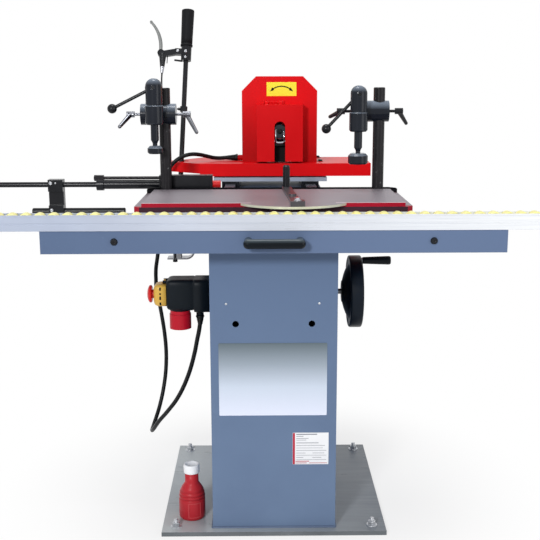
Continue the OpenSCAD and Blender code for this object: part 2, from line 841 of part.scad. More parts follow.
module clamp_body(x, barrel_z, split) {
  difference() {
    union() {
      translate([x, head_y, split - lower_height]) rotate_extrude() polygon([[0, 0],
        [head_diameter / 2 - lower_fillet, 0], [head_diameter / 2, lower_fillet],
        [head_diameter / 2, lower_height - 2], [head_diameter / 2 - 2, lower_height], [0, lower_height]]);
      block(x - 13, x + 13, head_y, post_y - barrel_diameter / 2 + 8,
        max(split - lower_height + 6, barrel_z - 20), min(split - 4, barrel_z + 20));
    }
    z_rod(plunger_diameter + 2 * fit, split - lower_height - eps, split + eps, x, head_y);
    x_rod(barrel_diameter, x - 40, x + 40, post_y, barrel_z);
  }
}

// Upper housing over the eccentric, open on its left
module cam_housing(x, split) {
  r = housing_diameter / 2;
  difference() {
    union() {
      z_rod(housing_diameter - 6, split, split + 2, x, head_y);
      z_rod(housing_diameter, split + 2, split + 50, x, head_y);
      translate([x, head_y, split + 50]) sphere(r = r);
    }
    block(x - 60, x + r - 7, head_y - cam_width / 2, head_y + cam_width / 2, split + 8, split + 100);
    z_rod(plunger_diameter + 1, split - eps, split + cam_z - cam_pin / 2 - 1, x, head_y);
    y_rod(cam_pin + 2 * fit, head_y - r - eps, head_y + r + eps, x, split + cam_z);
  }
}

module carrier(post_x, dx, span, barrel_z, split) {
  color(black) {
    barrel(post_x, span, barrel_z);
    clamp_body(post_x + dx, barrel_z, split);
    cam_housing(post_x + dx, split);
  }
}

module left_carrier() {
  carrier(left_post_x, left_head_dx, left_barrel, left_barrel_z, left_split_z);
}

module right_carrier() {
  carrier(right_post_x, right_head_dx, right_barrel, right_barrel_z, right_split_z);
}

// Eccentric with its pin, rod and ball, turned by an angle from the left clamp's rest
module cam_lever_at(x, split, turn) {
  color(black) translate([x, head_y, split + cam_z]) rotate([0, turn, 0]) {
    y_rod(cam_pin, -housing_diameter / 2 + 2, housing_diameter / 2 - 2, 0, 0);
    rotate([0, 180 - cam_phase, 0]) y_rod(2 * cam_radius, -cam_width / 2 + run, cam_width / 2 - run,
      cam_throw, 0);
    rotate([0, -90 - cam_rest, 0]) {
      z_rod(9, 8, cam_lever - 8, 0, 0);
      translate([0, 0, cam_lever]) sphere(d = knob_diameter);
    }
  }
}

module left_cam_lever() {
  cam_lever_at(left_post_x + left_head_dx, left_split_z, 0);
}

module right_cam_lever() {
  cam_lever_at(right_post_x + right_head_dx, right_split_z, -cam_phase);
}

// Plunger with its foot
module plunger(x, split, turn, pad_diameter, pad_height) {
  top = cam_z - cam_throw * sin(cam_phase) - cam_radius - run + plunger_rate * turn * PI / 180;
  low = top - 123;
  color(black) translate([x, head_y, split]) {
    z_rod(plunger_diameter, low, top - 1, 0, 0);
    translate([0, 0, top - 1]) cylinder(d1 = plunger_diameter, d2 = plunger_diameter - 3, h = 1);
    translate([0, 0, low - 8]) cylinder(d1 = 13, d2 = plunger_diameter - 2, h = 8);
    z_rod(13, low - 14 + fit, low - 7, 0, 0);
    z_rod(10, low - 24, low - 13, 0, 0);
    difference() {
      translate([0, 0, low - 14 - pad_height]) rotate_extrude() polygon([[0, 0], [pad_diameter / 2 - 4, 0],
        [pad_diameter / 2, 4], [pad_diameter / 2, pad_height - 7], [pad_diameter / 2 - 6, pad_height - 1],
        [pad_diameter / 2 - 9, pad_height], [0, pad_height]]);
      z_rod(10 + 2 * fit, low - 25, low - 13, 0, 0);
    }
  }
}

module left_plunger() {
  plunger(left_post_x + left_head_dx, left_split_z, 0, 42, 22);
}

module right_plunger() {
  plunger(right_post_x + right_head_dx, right_split_z, -cam_phase, 54, 30);
}

// Clamping lever on a stud, with the stud's face at the origin and the stud along +X
module lock_lever(tint) {
  color(tint) {
    x_rod(stud, -stud_depth, 22, 0, 0);
    difference() {
      x_rod(17, 18, 40, 0, 0);
      x_rod(9, 37, 41, 0, 0);
    }
    translate([29, 0, 0]) rotate([0, 152, 0]) {
      cylinder(r1 = 7, r2 = 5, h = 56);
      translate([0, 0, 56]) sphere(r = 5);
    }
  }
}

module left_inner_lock() {
  translate([left_post_x + left_barrel[1], post_y, left_barrel_z]) lock_lever(steel);
}

module left_outer_lock() {
  translate([left_post_x + left_barrel[0], post_y, left_barrel_z]) rotate([-50, 0, 0]) mirror([1, 0,
    0]) lock_lever(steel);
}

module right_inner_lock() {
  translate([right_post_x + right_barrel[0], post_y, right_barrel_z]) rotate([70, 0, 0]) mirror([1,
    0, 0]) lock_lever(black);
}

module right_outer_lock() {
  translate([right_post_x + right_barrel[1], post_y, right_barrel_z]) rotate([45, 0, 0]) lock_lever(black);
}

// End stop on the left
module stop_holder() {
  low = table_top_z - rear_bar_height + 2;
  color(black) {
    difference() {
      block(block_left, block_right, bar_back, stop_y + stop_tube_diameter / 2 + 3, low, brace_z + 8);
      x_rod(stop_tube_diameter + 2 * fit, block_left - eps, block_right + eps, stop_y, tube_z);
      x_rod(brace_diameter + 2 * fit, block_left - eps, block_left + 40, stop_y, brace_z);
    }
    difference() {
      x_rod(stop_tube_diameter, tube_left, block_right, stop_y, tube_z);
      x_rod(slide_rod_diameter + 2 * fit, tube_left - eps, block_right + eps, stop_y, tube_z);
    }
    difference() {
      union() {
        x_rod(stop_tube_diameter + 8, tube_left, tube_left + 20, stop_y, tube_z);
        block(tube_left, tube_left + 20, stop_y - 7, stop_y + 7, tube_z, brace_z + 8);
      }
      x_rod(stop_tube_diameter + 2 * fit, tube_left - eps, tube_left + 21, stop_y, tube_z);
      x_rod(brace_diameter + 2 * fit, tube_left - eps, tube_left + 21, stop_y, brace_z);
    }
  }
  color(red) x_rod(stop_tube_diameter - 5, block_right, block_right + 23, stop_y, tube_z);
  color(steel) {
    x_rod(brace_diameter, tube_left - 8, block_left + 39, stop_y, brace_z);
    difference() {
      translate([tube_left - 7, stop_y, brace_z]) rotate([0, 90, 0]) cylinder(d = 17, h = 7, $fn = 6);
      x_rod(brace_diameter + 2 * fit, tube_left - 9, tube_left + 1, stop_y, brace_z);
    }
  }
}

module stop_slide_rod() {
  color(black) x_rod(slide_rod_diameter, block_left - 10 - slide_rod_length, block_left - 10, stop_y, tube_z);
}

module stop_plate() {
  low = stop_rod_z - 12;
  color(black) difference() {
    block(plate_x, plate_x + stop_plate_width, stop_y - 16, stop_y + 16, low, low + stop_plate_height);
    x_rod(slide_rod_diameter + 2 * fit, plate_x - eps, plate_x + stop_plate_width + eps, stop_y, tube_z);
    x_rod(stop_rod_diameter + 2 * fit, plate_x - eps, plate_x + stop_plate_width + eps, stop_y, stop_rod_z);
    block(plate_x - eps, plate_x + stop_plate_width + eps, stop_y - 17, stop_y - 6,
      low + 0.3 * stop_plate_height,
      low + 0.68 * stop_plate_height);
  }
}

module stop_rod() {
  left = plate_x - 50;
  color(black) translate([left, stop_y, stop_rod_z]) rotate([0, 90, 0]) {
    cylinder(d1 = stop_rod_diameter - 4, d2 = stop_rod_diameter, h = 2);
    translate([0, 0, 2]) cylinder(d = stop_rod_diameter, h = stop_rod_length - 4);
    translate([0, 0, stop_rod_length - 2]) cylinder(d1 = stop_rod_diameter, d2 = stop_rod_diameter - 4, h = 2);
  }
}

// Bed of the head on the column, with webs under its rear half
module head_pedestal() {
  half = bed_width / 2;
  under = bed_top - bed_thickness;
  color(blue_grey) {
    block(-half, half, bed_front, bed_back, under, bed_top);
    difference() {
      block(-half + 20, half - 20, bed_front, column_back, cover_top, under + eps);
      block(-half + 26, half - 26, bed_front + 6, column_back - 6, cover_top - eps, under);
    }
    for (s = [-1, 1]) translate([s * (half - 23) + 3, column_back - eps, 0]) rotate([90, 0, -90])
      linear_extrude(6) polygon([[0, under + eps], [0, cover_top],
        [-(bed_back - column_back) + 10, under - 12], [-(bed_back - column_back) + 10, under + eps]]);
  }
  slide_rails();
}

module slide_rails() {
  color(steel) for (s = [-1, 1]) translate([slide_mid + s * slide_spacing / 2, 0, 0])
    block(-slide_rail_width / 2, slide_rail_width / 2, bed_front, bed_back, bed_top, rail_top);
}

module saddle() {
  half = saddle_width / 2;
  cheek = 11;
  inner = slide_rail_width / 2 + run;
  color(steel) {
    block(slide_mid - half, slide_mid + half, saddle_front, saddle_back, saddle_z, saddle_top);
    for (y = ways_y) block(slide_mid - half, slide_mid + half, y - way_width / 2, y + way_width / 2,
      saddle_top - eps, saddle_top + way_height);
  }
  color(black) for (s = [-1, 1]) translate([slide_mid + s * slide_spacing / 2, 0, 0]) difference() {
    block(-inner - cheek, inner + cheek, saddle_front, saddle_back, bed_top + 2, saddle_z);
    block(-inner, inner, saddle_front - eps, saddle_back + eps, bed_top, rail_top + run);
  }
}

// Head plate: folded plate with runners under it and the lug of the lever
module head_plate() {
  left = -215;
  ceiling = plate_top - plate_sheet;
  color(red) difference() {
    union() {
      translate([0, 0, ceiling]) linear_extrude(plate_sheet) polygon([[plate_right, plate_front],
        [left, plate_front], [lug_x - 10, lug_y - lug_radius], [lug_x - 10, lug_y + lug_radius],
        [left, plate_back], [plate_right, plate_back]]);
      block(left, plate_right, plate_front, plate_front + plate_sheet, plate_z, ceiling + eps);
      block(left, plate_right, plate_back - plate_sheet, plate_back, plate_z, ceiling + eps);
      translate([0, 0, lug_z]) linear_extrude(ceiling + eps - lug_z) {
        polygon([[left, plate_front], [lug_x - 10, lug_y - lug_radius],
          [lug_x - 10, lug_y - lug_radius + plate_sheet], [left, plate_front + plate_sheet]]);
        polygon([[left, plate_back], [lug_x - 10, lug_y + lug_radius],
          [lug_x - 10, lug_y + lug_radius - plate_sheet], [left, plate_back - plate_sheet]]);
      }
      z_rod(2 * lug_radius, lug_z, plate_top, lug_x, lug_y);
      block(lug_x, left + 2, lug_y - 0.6 * lug_radius, lug_y + 0.6 * lug_radius, lug_z, ceiling + eps);
      for (y = ways_y) block(runner_left, runner_right, y - way_width / 2 - 12, y + way_width / 2 + 12,
        saddle_top + 2, ceiling + eps);
    }
    z_rod(lever_hole, lug_z - eps, plate_top + eps, lug_x, lug_y);
    for (y = ways_y) block(runner_left - eps, runner_right + eps, y - way_width / 2 - run,
      y + way_width / 2 + run,
      saddle_top, saddle_top + way_height + run);
  }
}

// Hood over the motor, with cut corners, open at the rear
function hood_outline(in, low) = let (w = hood_width / 2 - in, h = hood_height - in,
  c = hood_chamfer - 0.586 * in)
  [[-w, low], [w, low], [w, h - c], [w - c, h], [-w + c, h], [-w, h - c]];

module hood() {
  opening = guard_width / 2 - 6;
  start = motor_route[0];
  color(red) {
    translate([head_x, hood_front, plate_top]) {
      difference() {
        rotate([90, 0, 0]) mirror([0, 0, 1]) linear_extrude(hood_depth) polygon(hood_outline(0, 0));
        translate([0, sheet, 0]) rotate([90, 0, 0]) mirror([0, 0, 1]) linear_extrude(hood_depth)
          polygon(hood_outline(sheet, -1));
        block(-opening, opening, -eps, sheet + eps, -eps, guard_height - 8);
      }
    }
    for (x = [-22, 37]) block(x - 2, x + 2, guard_hinge[0] - 4, hood_front + eps,
      guard_hinge[1] - 4, guard_hinge[1] + 4);
    x_rod(hinge_pin, -23, 38, guard_hinge[0], guard_hinge[1]);
    difference() {
      x_rod(cable_diameter + 5, start[0] - 1, head_x - hood_width / 2 + eps, start[1], start[2]);
      x_rod(cable_diameter + 1, start[0] - 2, start[0], start[1], start[2]);
      block(start[0] - 2, head_x, start[1] - 20, start[1] + 20, plate_top - 20, plate_top);
    }
  }
}

module chuck_guard() {
  half = guard_width / 2;
  slot_top = spindle_z + 30;
  color(red) difference() {
    union() {
      block(head_x - half, head_x + half, guard_front, hood_front - run, guard_base, guard_top);
      for (x = [-14, 29]) {
        x_rod(9, x - 5, x + 5, guard_hinge[0], guard_hinge[1]);
        block(x - 5, x + 5, guard_hinge[0] - 4.5, guard_hinge[0], guard_top - eps, guard_hinge[1]);
      }
    }
    block(head_x - half + sheet, head_x + half - sheet, guard_front + sheet, hood_front,
      guard_base - eps, guard_top - sheet);
    y_rod(guard_slot, guard_front - eps, guard_front + sheet + eps, head_x, slot_top - guard_slot / 2);
    block(head_x - guard_slot / 2, head_x + guard_slot / 2, guard_front - eps, guard_front + sheet + eps,
      guard_base - eps, slot_top - guard_slot / 2);
    x_rod(hinge_pin + 2 * fit, -30, 40, guard_hinge[0], guard_hinge[1]);
  }
}

// Motor on its feet, with a finned frame and a fan cover
spindle = 24;

module motor() {
  r = motor_diameter / 2;
  frame_end = motor_back - 60;
  color(blue_grey) difference() {
    union() {
      y_rod(motor_diameter + 8, motor_front, motor_front + 14, head_x, spindle_z);
      y_rod(motor_diameter - 10, motor_front + 13, frame_end - 13, head_x, spindle_z);
      y_rod(motor_diameter + 8, frame_end - 14, frame_end, head_x, spindle_z);
      for (k = [0 : 15]) translate([head_x, motor_front + 13, spindle_z]) rotate([0, 22.5 * k, 0])
        block(-2, 2, 0, frame_end - motor_front - 26, r - 9, r);
      for (s = [-1, 1]) block(head_x + s * 52 - 14, head_x + s * 52 + 14, motor_front + 20, frame_end - 20,
        plate_top, spindle_z - 0.55 * r);
    }
    y_rod(spindle + 2 * fit, motor_front - eps, motor_front + 60, head_x, spindle_z);
  }
  color(black) difference() {
    y_rod(motor_diameter + 4, frame_end, motor_back, head_x, spindle_z);
    y_rod(motor_diameter, frame_end - eps, motor_back - 2, head_x, spindle_z);
    for (a = [0 : 30 : 330], q = [0.35, 0.6]) translate([head_x, motor_back - 3, spindle_z]) rotate([0, a, 0])
      translate([0, 0, q * r]) rotate([-90, 0, 0]) cylinder(d = 11, h = 5);
  }
}

// Drill chuck on the motor's spindle
module chuck() {
  nose = guard_front + sheet + 5;
  r = chuck_diameter / 2;
  color(steel) translate([head_x, nose, spindle_z]) rotate([-90, 0, 0]) difference() {
    rotate_extrude() polygon([[0, 0], [0.62 * r, 0], [0.74 * r, 3], [r, 22], [r, 26], [0.95 * r,
      27], [0.95 * r, 31],
      [r, 32], [r, 58], [0.86 * r, 62], [0.86 * r, 68], [spindle / 2, 68],
      [spindle / 2, motor_front + 58 - nose], [0, motor_front + 58 - nose]]);
    translate([0, 0, -eps]) cylinder(d = chuck_bore, h = 45);
    for (a = [0, 120, 240]) rotate(a) translate([r - 9, 0, 45]) rotate([0, 90, 0]) cylinder(d = 8, h = 12);
  }
}

// Bracket of the universal joint: a bent strip on the column's side, with two ears
strip = 5;
strip_low = joint_z - 30;
strip_width = 40;
bend = 22;
ear_gap = 16;
ear = 6;

module lever_bracket() {
  y0 = joint_y - strip_width / 2;
  rise_x = -240;
  high = strip_low + 80;
  side = -column_side;
  color(steel) {
    translate([0, y0 + strip_width, 0]) rotate([90, 0, 0]) linear_extrude(strip_width) {
      translate([joint_x - 30, strip_low - strip]) square([rise_x - bend - joint_x + 30, strip]);
      difference() {
        translate([rise_x - bend, strip_low + bend]) circle(r = bend + strip);
        translate([rise_x - bend, strip_low + bend]) circle(r = bend);
        translate([rise_x - bend - 60, strip_low - 60]) square([60, 200]);
        translate([rise_x - bend - 60, strip_low + bend]) square([200, 60]);
      }
      translate([rise_x, strip_low + bend]) square([strip, high - strip_low - bend]);
      translate([rise_x, high - strip]) square([side - rise_x, strip]);
      translate([side - strip, high - eps]) square([strip, 40]);
    }
    for (s = [-1, 1]) difference() {
      translate([joint_x, joint_y + s * (ear_gap + ear / 2), 0]) union() {
        translate([-12, -ear / 2, strip_low - eps]) cube([24, ear, joint_z - strip_low + eps]);
        y_rod(24, -ear / 2, ear / 2, 0, joint_z);
      }
      y_rod(trunnion + 2 * fit, joint_y - 60, joint_y + 60, joint_x, joint_z);
    }
  }
}

module at_lever() {
  translate([joint_x, joint_y, joint_z]) rotate([0, lever_lean_x, 0]) rotate([-lever_lean_y, 0, 0])
    children();
}

module lever_cross() {
  color(steel) translate([joint_x, joint_y, joint_z]) rotate([0, lever_lean_x, 0]) {
    cube(18, center = true);
    y_rod(trunnion, -ear_gap - ear - 3, ear_gap + ear + 3, 0, 0);
    x_rod(trunnion, -20, 20, 0, 0);
  }
}

module lever_rod() {
  fork_in = 11;
  fork_out = 17;
  color(black) at_lever() {
    z_rod(lever_diameter, 35, lever_length - grip_length + 40, 0, 0);
    z_rod(lever_diameter + 6, 34, 52, 0, 0);
    block(-fork_out, fork_out, -10, 10, 26, 36);
    for (s = [-1, 1]) difference() {
      union() {
        x0 = s > 0 ? fork_in : -fork_out;
        block(x0, x0 + fork_out - fork_in, -10, 10, 0, 27);
        x_rod(20, x0, x0 + fork_out - fork_in, 0, 0);
      }
      x_rod(trunnion + 2 * fit, -40, 40, 0, 0);
    }
    difference() {
      z_rod(lever_diameter + 8, boss_l - 8, boss_l + 8, 0, 0);
      z_rod(lever_diameter - 2, boss_l - 9, boss_l + 9, 0, 0);
    }
    x_rod(9, -17, -lever_diameter / 2 + 1, 0, boss_l);
  }
}

module lever_grip() {
  low = lever_length - grip_length;
  r = grip_diameter / 2;
  color(black) at_lever() difference() {
    rotate_extrude() polygon([[0, low], [r + 1, low], [r + 1, low + 5], [r - 1, low + 8], [r, low + 30],
      [r, lever_length - 3], [r - 3, lever_length], [0, lever_length]]);
    z_rod(lever_diameter + 2 * fit, low - eps, low + 41, 0, 0);
  }
}

// Brake lever bracket clamped under the grip, with the cable's barrel
module brake_bracket() {
  ring_low = brake_l - 24;
  color(black) at_lever() {
    difference() {
      union() {
        z_rod(lever_diameter + 17, ring_low, brake_l + 21, 0, 0);
        block(-34, 0, -11, 11, brake_l - 6, brake_l + 12);
        translate([-30, 0, brake_l + 3]) rotate([0, -102, 0]) translate([-9, -8, 0]) cube([18, 16, 40]);
        translate([barrel_x, 0, brake_l - 46]) cylinder(r1 = 7, r2 = 12, h = 42);
        y_rod(22, -11, 11, brake_x + 3, brake_l - 4);
      }
      z_rod(lever_diameter + 2 * fit, ring_low - eps, brake_l + 25, 0, 0);
      block(brake_x - 20, brake_x + 12, -5 - run, 5 + run, brake_l - 12, brake_l + 30);
      z_rod(6, brake_l - 47, brake_l - 10, barrel_x, 0);
    }
    y_rod(6, -12, 12, brake_x, brake_l - 2);
  }
  color(steel) at_lever() difference() {
    translate([barrel_x, 0, brake_l - 66]) cylinder(d1 = 8, d2 = 14, h = 20);
    z_rod(6, brake_l - 67, brake_l - 45, barrel_x, 0);
  }
}

// Brake blade: a strip that starts towards the grip and curves away from it
module brake_blade() {
  color(steel) at_lever() translate([brake_x, 0, brake_l - 2]) difference() {
    union() {
      y_rod(14, -5, 5, 0, 0);
      rotate([0, 8, 0]) translate([-blade_curve, 5, 0]) rotate([90, 0, 0]) rotate_extrude(angle = 53)
        translate([blade_curve - 3, 0]) square([6, 10]);
      rotate([0, 8, 0]) translate([-blade_curve * (1 - cos(53)), 0, blade_curve * sin(53)]) y_rod(9,
        -5, 5, 0, 0);
    }
    y_rod(6 + 2 * fit, -20, 20, 0, 0);
  }
}

// Switch, its lid and the power inlet
module switch_box() {
  narrow = switch_height - 8;
  color(black) {
    x_prism(switch_step, -column_side, switch_y, switch_z, switch_depth, switch_height, 10);
    x_prism(switch_left, switch_step + eps, switch_y, switch_z, switch_depth - 8, narrow, 10);
    z_rod(inlet_diameter - 4, switch_z - switch_height / 2, switch_z, inlet_x, switch_y);
    for (s = [-1, 1]) translate([0, switch_y + s * 14, 0]) {
      block(lid_hinge[0], switch_left + eps, -2, 2, lid_hinge[1] - 4, lid_hinge[1] + 4);
      y_rod(8, -2, 2, lid_hinge[0], lid_hinge[1]);
    }
    y_rod(hinge_pin, switch_y - 14, switch_y + 14, lid_hinge[0], lid_hinge[1]);
    difference() {
      z_rod(20, switch_z - switch_height / 2 - gland_length, switch_z - switch_height / 2, gland_x, switch_y);
      z_rod(cable_diameter + 1, switch_z - switch_height / 2 - gland_length - eps,
        switch_z - switch_height / 2 - gland_length + 1, gland_x, switch_y);
    }
  }
}

module switch_lid() {
  half = lid_side / 2;
  x0 = switch_left - lid_depth;
  color(yellow) difference() {
    union() {
      x_prism(x0, switch_left - run, switch_y, switch_z, lid_side, lid_side, 12);
      y_rod(8, switch_y - 11, switch_y + 11, lid_hinge[0], lid_hinge[1]);
      block(lid_hinge[0] - 4, lid_hinge[0] + 3, switch_y - 11, switch_y + 11, switch_z + half - 1,
        lid_hinge[1]);
    }
    x_prism(x0 + 4, switch_left + 1, switch_y, switch_z, lid_side - 8, lid_side - 8, 8);
    x_rod(24, x0 - 1, x0 + 5, switch_y, switch_z);
    y_rod(hinge_pin + 2 * fit, switch_y - 12, switch_y + 12, lid_hinge[0], lid_hinge[1]);
  }
}

module stop_button() {
  x0 = switch_left - lid_depth;
  color(red) {
    x_rod(24 - 2 * fit, x0 - 8, x0 + 14, switch_y, switch_z);
    translate([x0 - 7, switch_y, switch_z]) rotate([0, -90, 0]) rotate_extrude() polygon([[0, 0],
      [button_diameter / 2 - 3, 0], [button_diameter / 2, 3], [button_diameter / 2 - 1, 7],
      [button_diameter / 2 - 6, 10], [button_diameter / 4, 12], [0, 12.5]]);
  }
}

module power_inlet() {
  top = switch_z - switch_height / 2;
  low = top - inlet_height;
  color(red) difference() {
    union() {
      z_rod(inlet_diameter - 4, low, top, inlet_x, switch_y);
      z_rod(inlet_diameter, low, top - 10, inlet_x, switch_y);
    }
    z_rod(inlet_diameter - 10, low - eps, top - 8, inlet_x, switch_y);
  }
  color(bronze) for (k = [0 : 4]) rotate_about(inlet_x, switch_y, 72 * k)
    z_rod(5, low + 10, top - 8 + eps, inlet_x + 0.27 * inlet_diameter, switch_y);
}

module rotate_about(x, y, angle) {
  translate([x, y, 0]) rotate(angle) translate([-x, -y, 0]) children();
}

// Loose mains plug that stands on the floor plate
module loose_plug() {
  r = plug_diameter / 2;
  z = base_thickness;
  color(red) translate([plug_x, plug_y, z]) rotate_extrude() polygon([[0, 0], [r - 3, 0], [r - 1, 3], [r, 8],
    [r, 58], [r - 1, 62], [r - 4, 65], [r - 4, 67], [r - 14, 86], [r - 15.5, 90], [r - 16.5, 118], [0, 118]]);
  color(light_grey) translate([plug_x, plug_y, z + 118]) rotate_extrude() polygon([[0, 0], [r - 14, 0],
    [r - 12.5, 2], [r - 12.5, 35], [r - 15, 40], [0, 40]]);
}

// Cables
module motor_cable() {
  color(black) cable(motor_route, cable_diameter);
}

module cable_drop() {
  color(black) cable(drop_route, cable_diameter);
}

module cable_loop() {
  color(black) cable(loop_route, cable_diameter);
}

module bowden_cable() {
  color(black) at_lever() cable(bowden_route, bowden_diameter);
}

base_plate();
levelling_bolts();
column();
column_top();
lift_housing();
head_pedestal();
lever_bracket();
switch_box();
power_inlet();
cable_loop();
handwheel();
cross_shaft();
crank_grip();
lift_screw();
table_top();
table_base();
rear_bar();
lift_guides();
support_carrier();
arc_plate();
left_post();
right_post();
stop_holder();
mitre_bar();
stop_pin();
stop_slide_rod();
stop_plate();
stop_rod();
support_beam();
roller_rail();
rollers();
pull_handle();
guide_rods();
left_carrier();
left_cam_lever();
left_plunger();
left_inner_lock();
left_outer_lock();
right_carrier();
right_cam_lever();
right_plunger();
right_inner_lock();
right_outer_lock();
saddle();
cable_drop();
head_plate();
hood();
motor();
motor_cable();
chuck_guard();
chuck();
lever_cross();
lever_rod();
lever_grip();
brake_bracket();
brake_blade();
bowden_cable();
switch_lid();
stop_button();
loose_plug();
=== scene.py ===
import bmesh
import bpy
from math import cos, degrees, hypot, pi, radians, sin
from mathutils import Matrix, Vector, noise


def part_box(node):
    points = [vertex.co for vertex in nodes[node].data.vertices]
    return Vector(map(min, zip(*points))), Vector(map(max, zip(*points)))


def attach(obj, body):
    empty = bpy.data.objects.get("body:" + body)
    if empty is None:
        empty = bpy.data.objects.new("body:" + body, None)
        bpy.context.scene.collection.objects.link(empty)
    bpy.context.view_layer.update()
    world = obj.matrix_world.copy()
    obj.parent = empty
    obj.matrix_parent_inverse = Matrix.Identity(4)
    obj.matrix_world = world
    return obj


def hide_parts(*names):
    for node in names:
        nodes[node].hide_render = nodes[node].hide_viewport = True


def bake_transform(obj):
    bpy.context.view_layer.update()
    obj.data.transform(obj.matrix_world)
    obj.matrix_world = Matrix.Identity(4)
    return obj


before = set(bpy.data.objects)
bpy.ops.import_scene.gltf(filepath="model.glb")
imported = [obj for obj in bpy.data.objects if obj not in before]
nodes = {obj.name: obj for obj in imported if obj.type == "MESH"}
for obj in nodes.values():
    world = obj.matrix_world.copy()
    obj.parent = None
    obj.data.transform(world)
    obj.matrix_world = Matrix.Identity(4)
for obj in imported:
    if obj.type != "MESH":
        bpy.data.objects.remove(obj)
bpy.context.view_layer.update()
scene = bpy.context.scene
scene.view_settings.view_transform = "Standard"
print("frame loaded:", len(nodes), "nodes")

# camera, fitted to the photo with the 600 mm floor plate
cameraSet = dict(
    place=(-0.0318, -2.6142, 1.2032), yaw=0.0096, pitch=0.2043, roll=-0.0024, lens=62.79, sensor=36.0,
    clip=(0.05, 80.0))


def addObject(name, data):
    thing = bpy.data.objects.new(name, data)
    scene.collection.objects.link(thing)
    return thing


def placeCamera(spec):
    data = bpy.data.cameras.new("photoCamera")
    data.sensor_fit, data.sensor_width, data.lens = "HORIZONTAL", spec["sensor"], spec["lens"]
    data.clip_start, data.clip_end = spec["clip"]
    yaw, pitch, roll = spec["yaw"], spec["pitch"], spec["roll"]
    ahead = Vector((sin(yaw) * cos(pitch), cos(yaw) * cos(pitch), -sin(pitch)))
    side = Vector((cos(yaw), -sin(yaw), 0))
    up = side.cross(ahead)
    right = side * cos(roll) + up * sin(roll)
    top = up * cos(roll) - side * sin(roll)
    stand = Matrix((right, top, -ahead)).transposed().to_4x4()
    stand.translation = spec["place"]
    eye = addObject("photoCamera", data)
    eye.matrix_world = stand
    scene.camera = eye


placeCamera(cameraSet)
print("camera placed")


# node helpers
def tone(r, g, b):  # a colour as read off a screen, 0 to 255
    return tuple((c / 255 / 12.92) if c <= 10 else ((c / 255 + 0.055) / 1.055) ** 2.4 for c in (r, g, b)) + (1.0,)


def feed(tree, socket, value):  # links another socket, or sets a plain value
    if isinstance(value, bpy.types.NodeSocket):
        tree.links.new(value, socket)
    else:
        socket.default_value = value


def put(tree, kind, inputs=None, **settings):
    node = tree.nodes.new("ShaderNode" + kind)
    for key, value in settings.items():
        setattr(node, key, value)
    for key, value in (inputs or {}).items():
        feed(tree, node.inputs[key], value)
    return node


def mixTone(tree, share, first, second):
    return put(tree, "Mix", {0: share, 6: first, 7: second}, data_type="RGBA").outputs[2]


def spread(tree, value, low, high, toLow=0.0, toHigh=1.0):
    ends = {"From Min": low, "From Max": high, "To Min": toLow, "To Max": toHigh}
    return put(tree, "MapRange", {"Value": value, **ends}).outputs["Result"]


def math2(tree, kind, first, second):
    return put(tree, "Math", {0: first, 1: second}, operation=kind).outputs[0]


def speckle(tree, where, scale, detail=3.0, rough=0.55):
    inputs = {"Vector": where, "Scale": scale, "Detail": detail, "Roughness": rough}
    return put(tree, "TexNoise", inputs).outputs["Fac"]


def axisOf(tree, vector, axis):
    return put(tree, "SeparateXYZ", {"Vector": vector}).outputs[axis]


def roundNormal(tree, radius):
    return put(tree, "Bevel", {"Radius": radius}, samples=4).outputs["Normal"]


def newMaterial(name):
    mat = bpy.data.materials.new(name)
    mat.use_nodes = True
    return mat, mat.node_tree


# what a finish has unless it says otherwise: colours are 0 to 255, lengths are metres
finishBase = dict(
    rough=0.34, roughSpread=0.05, grain=500, bump=0.04, bumpDepth=0.0006, gloss=0.5, metal=0, edge=0.0016,
    patchScale=6, patchDetail=5, patchSpan=(0.32, 0.68), midSpan=(0.3, 0.7), fleckScale=160, fleckDetail=2,
    fleckSpan=(0.66, 0.74), fleckShare=0.16, driftAxis="X", driftSpan=(-0.5, 0.6), topHighlightSpan=(0.2, 0.95), brushDetail=4,
    brushRoughness=0.7, brushHeight=0.7, brushTone=0.4, brushRough=0.06, wearWidth=0.002, wearShare=0.45,
    wearTurn=(0.985, 0.86), chipScale=90, chipDetail=4, chipSpan=(0.42, 0.62))


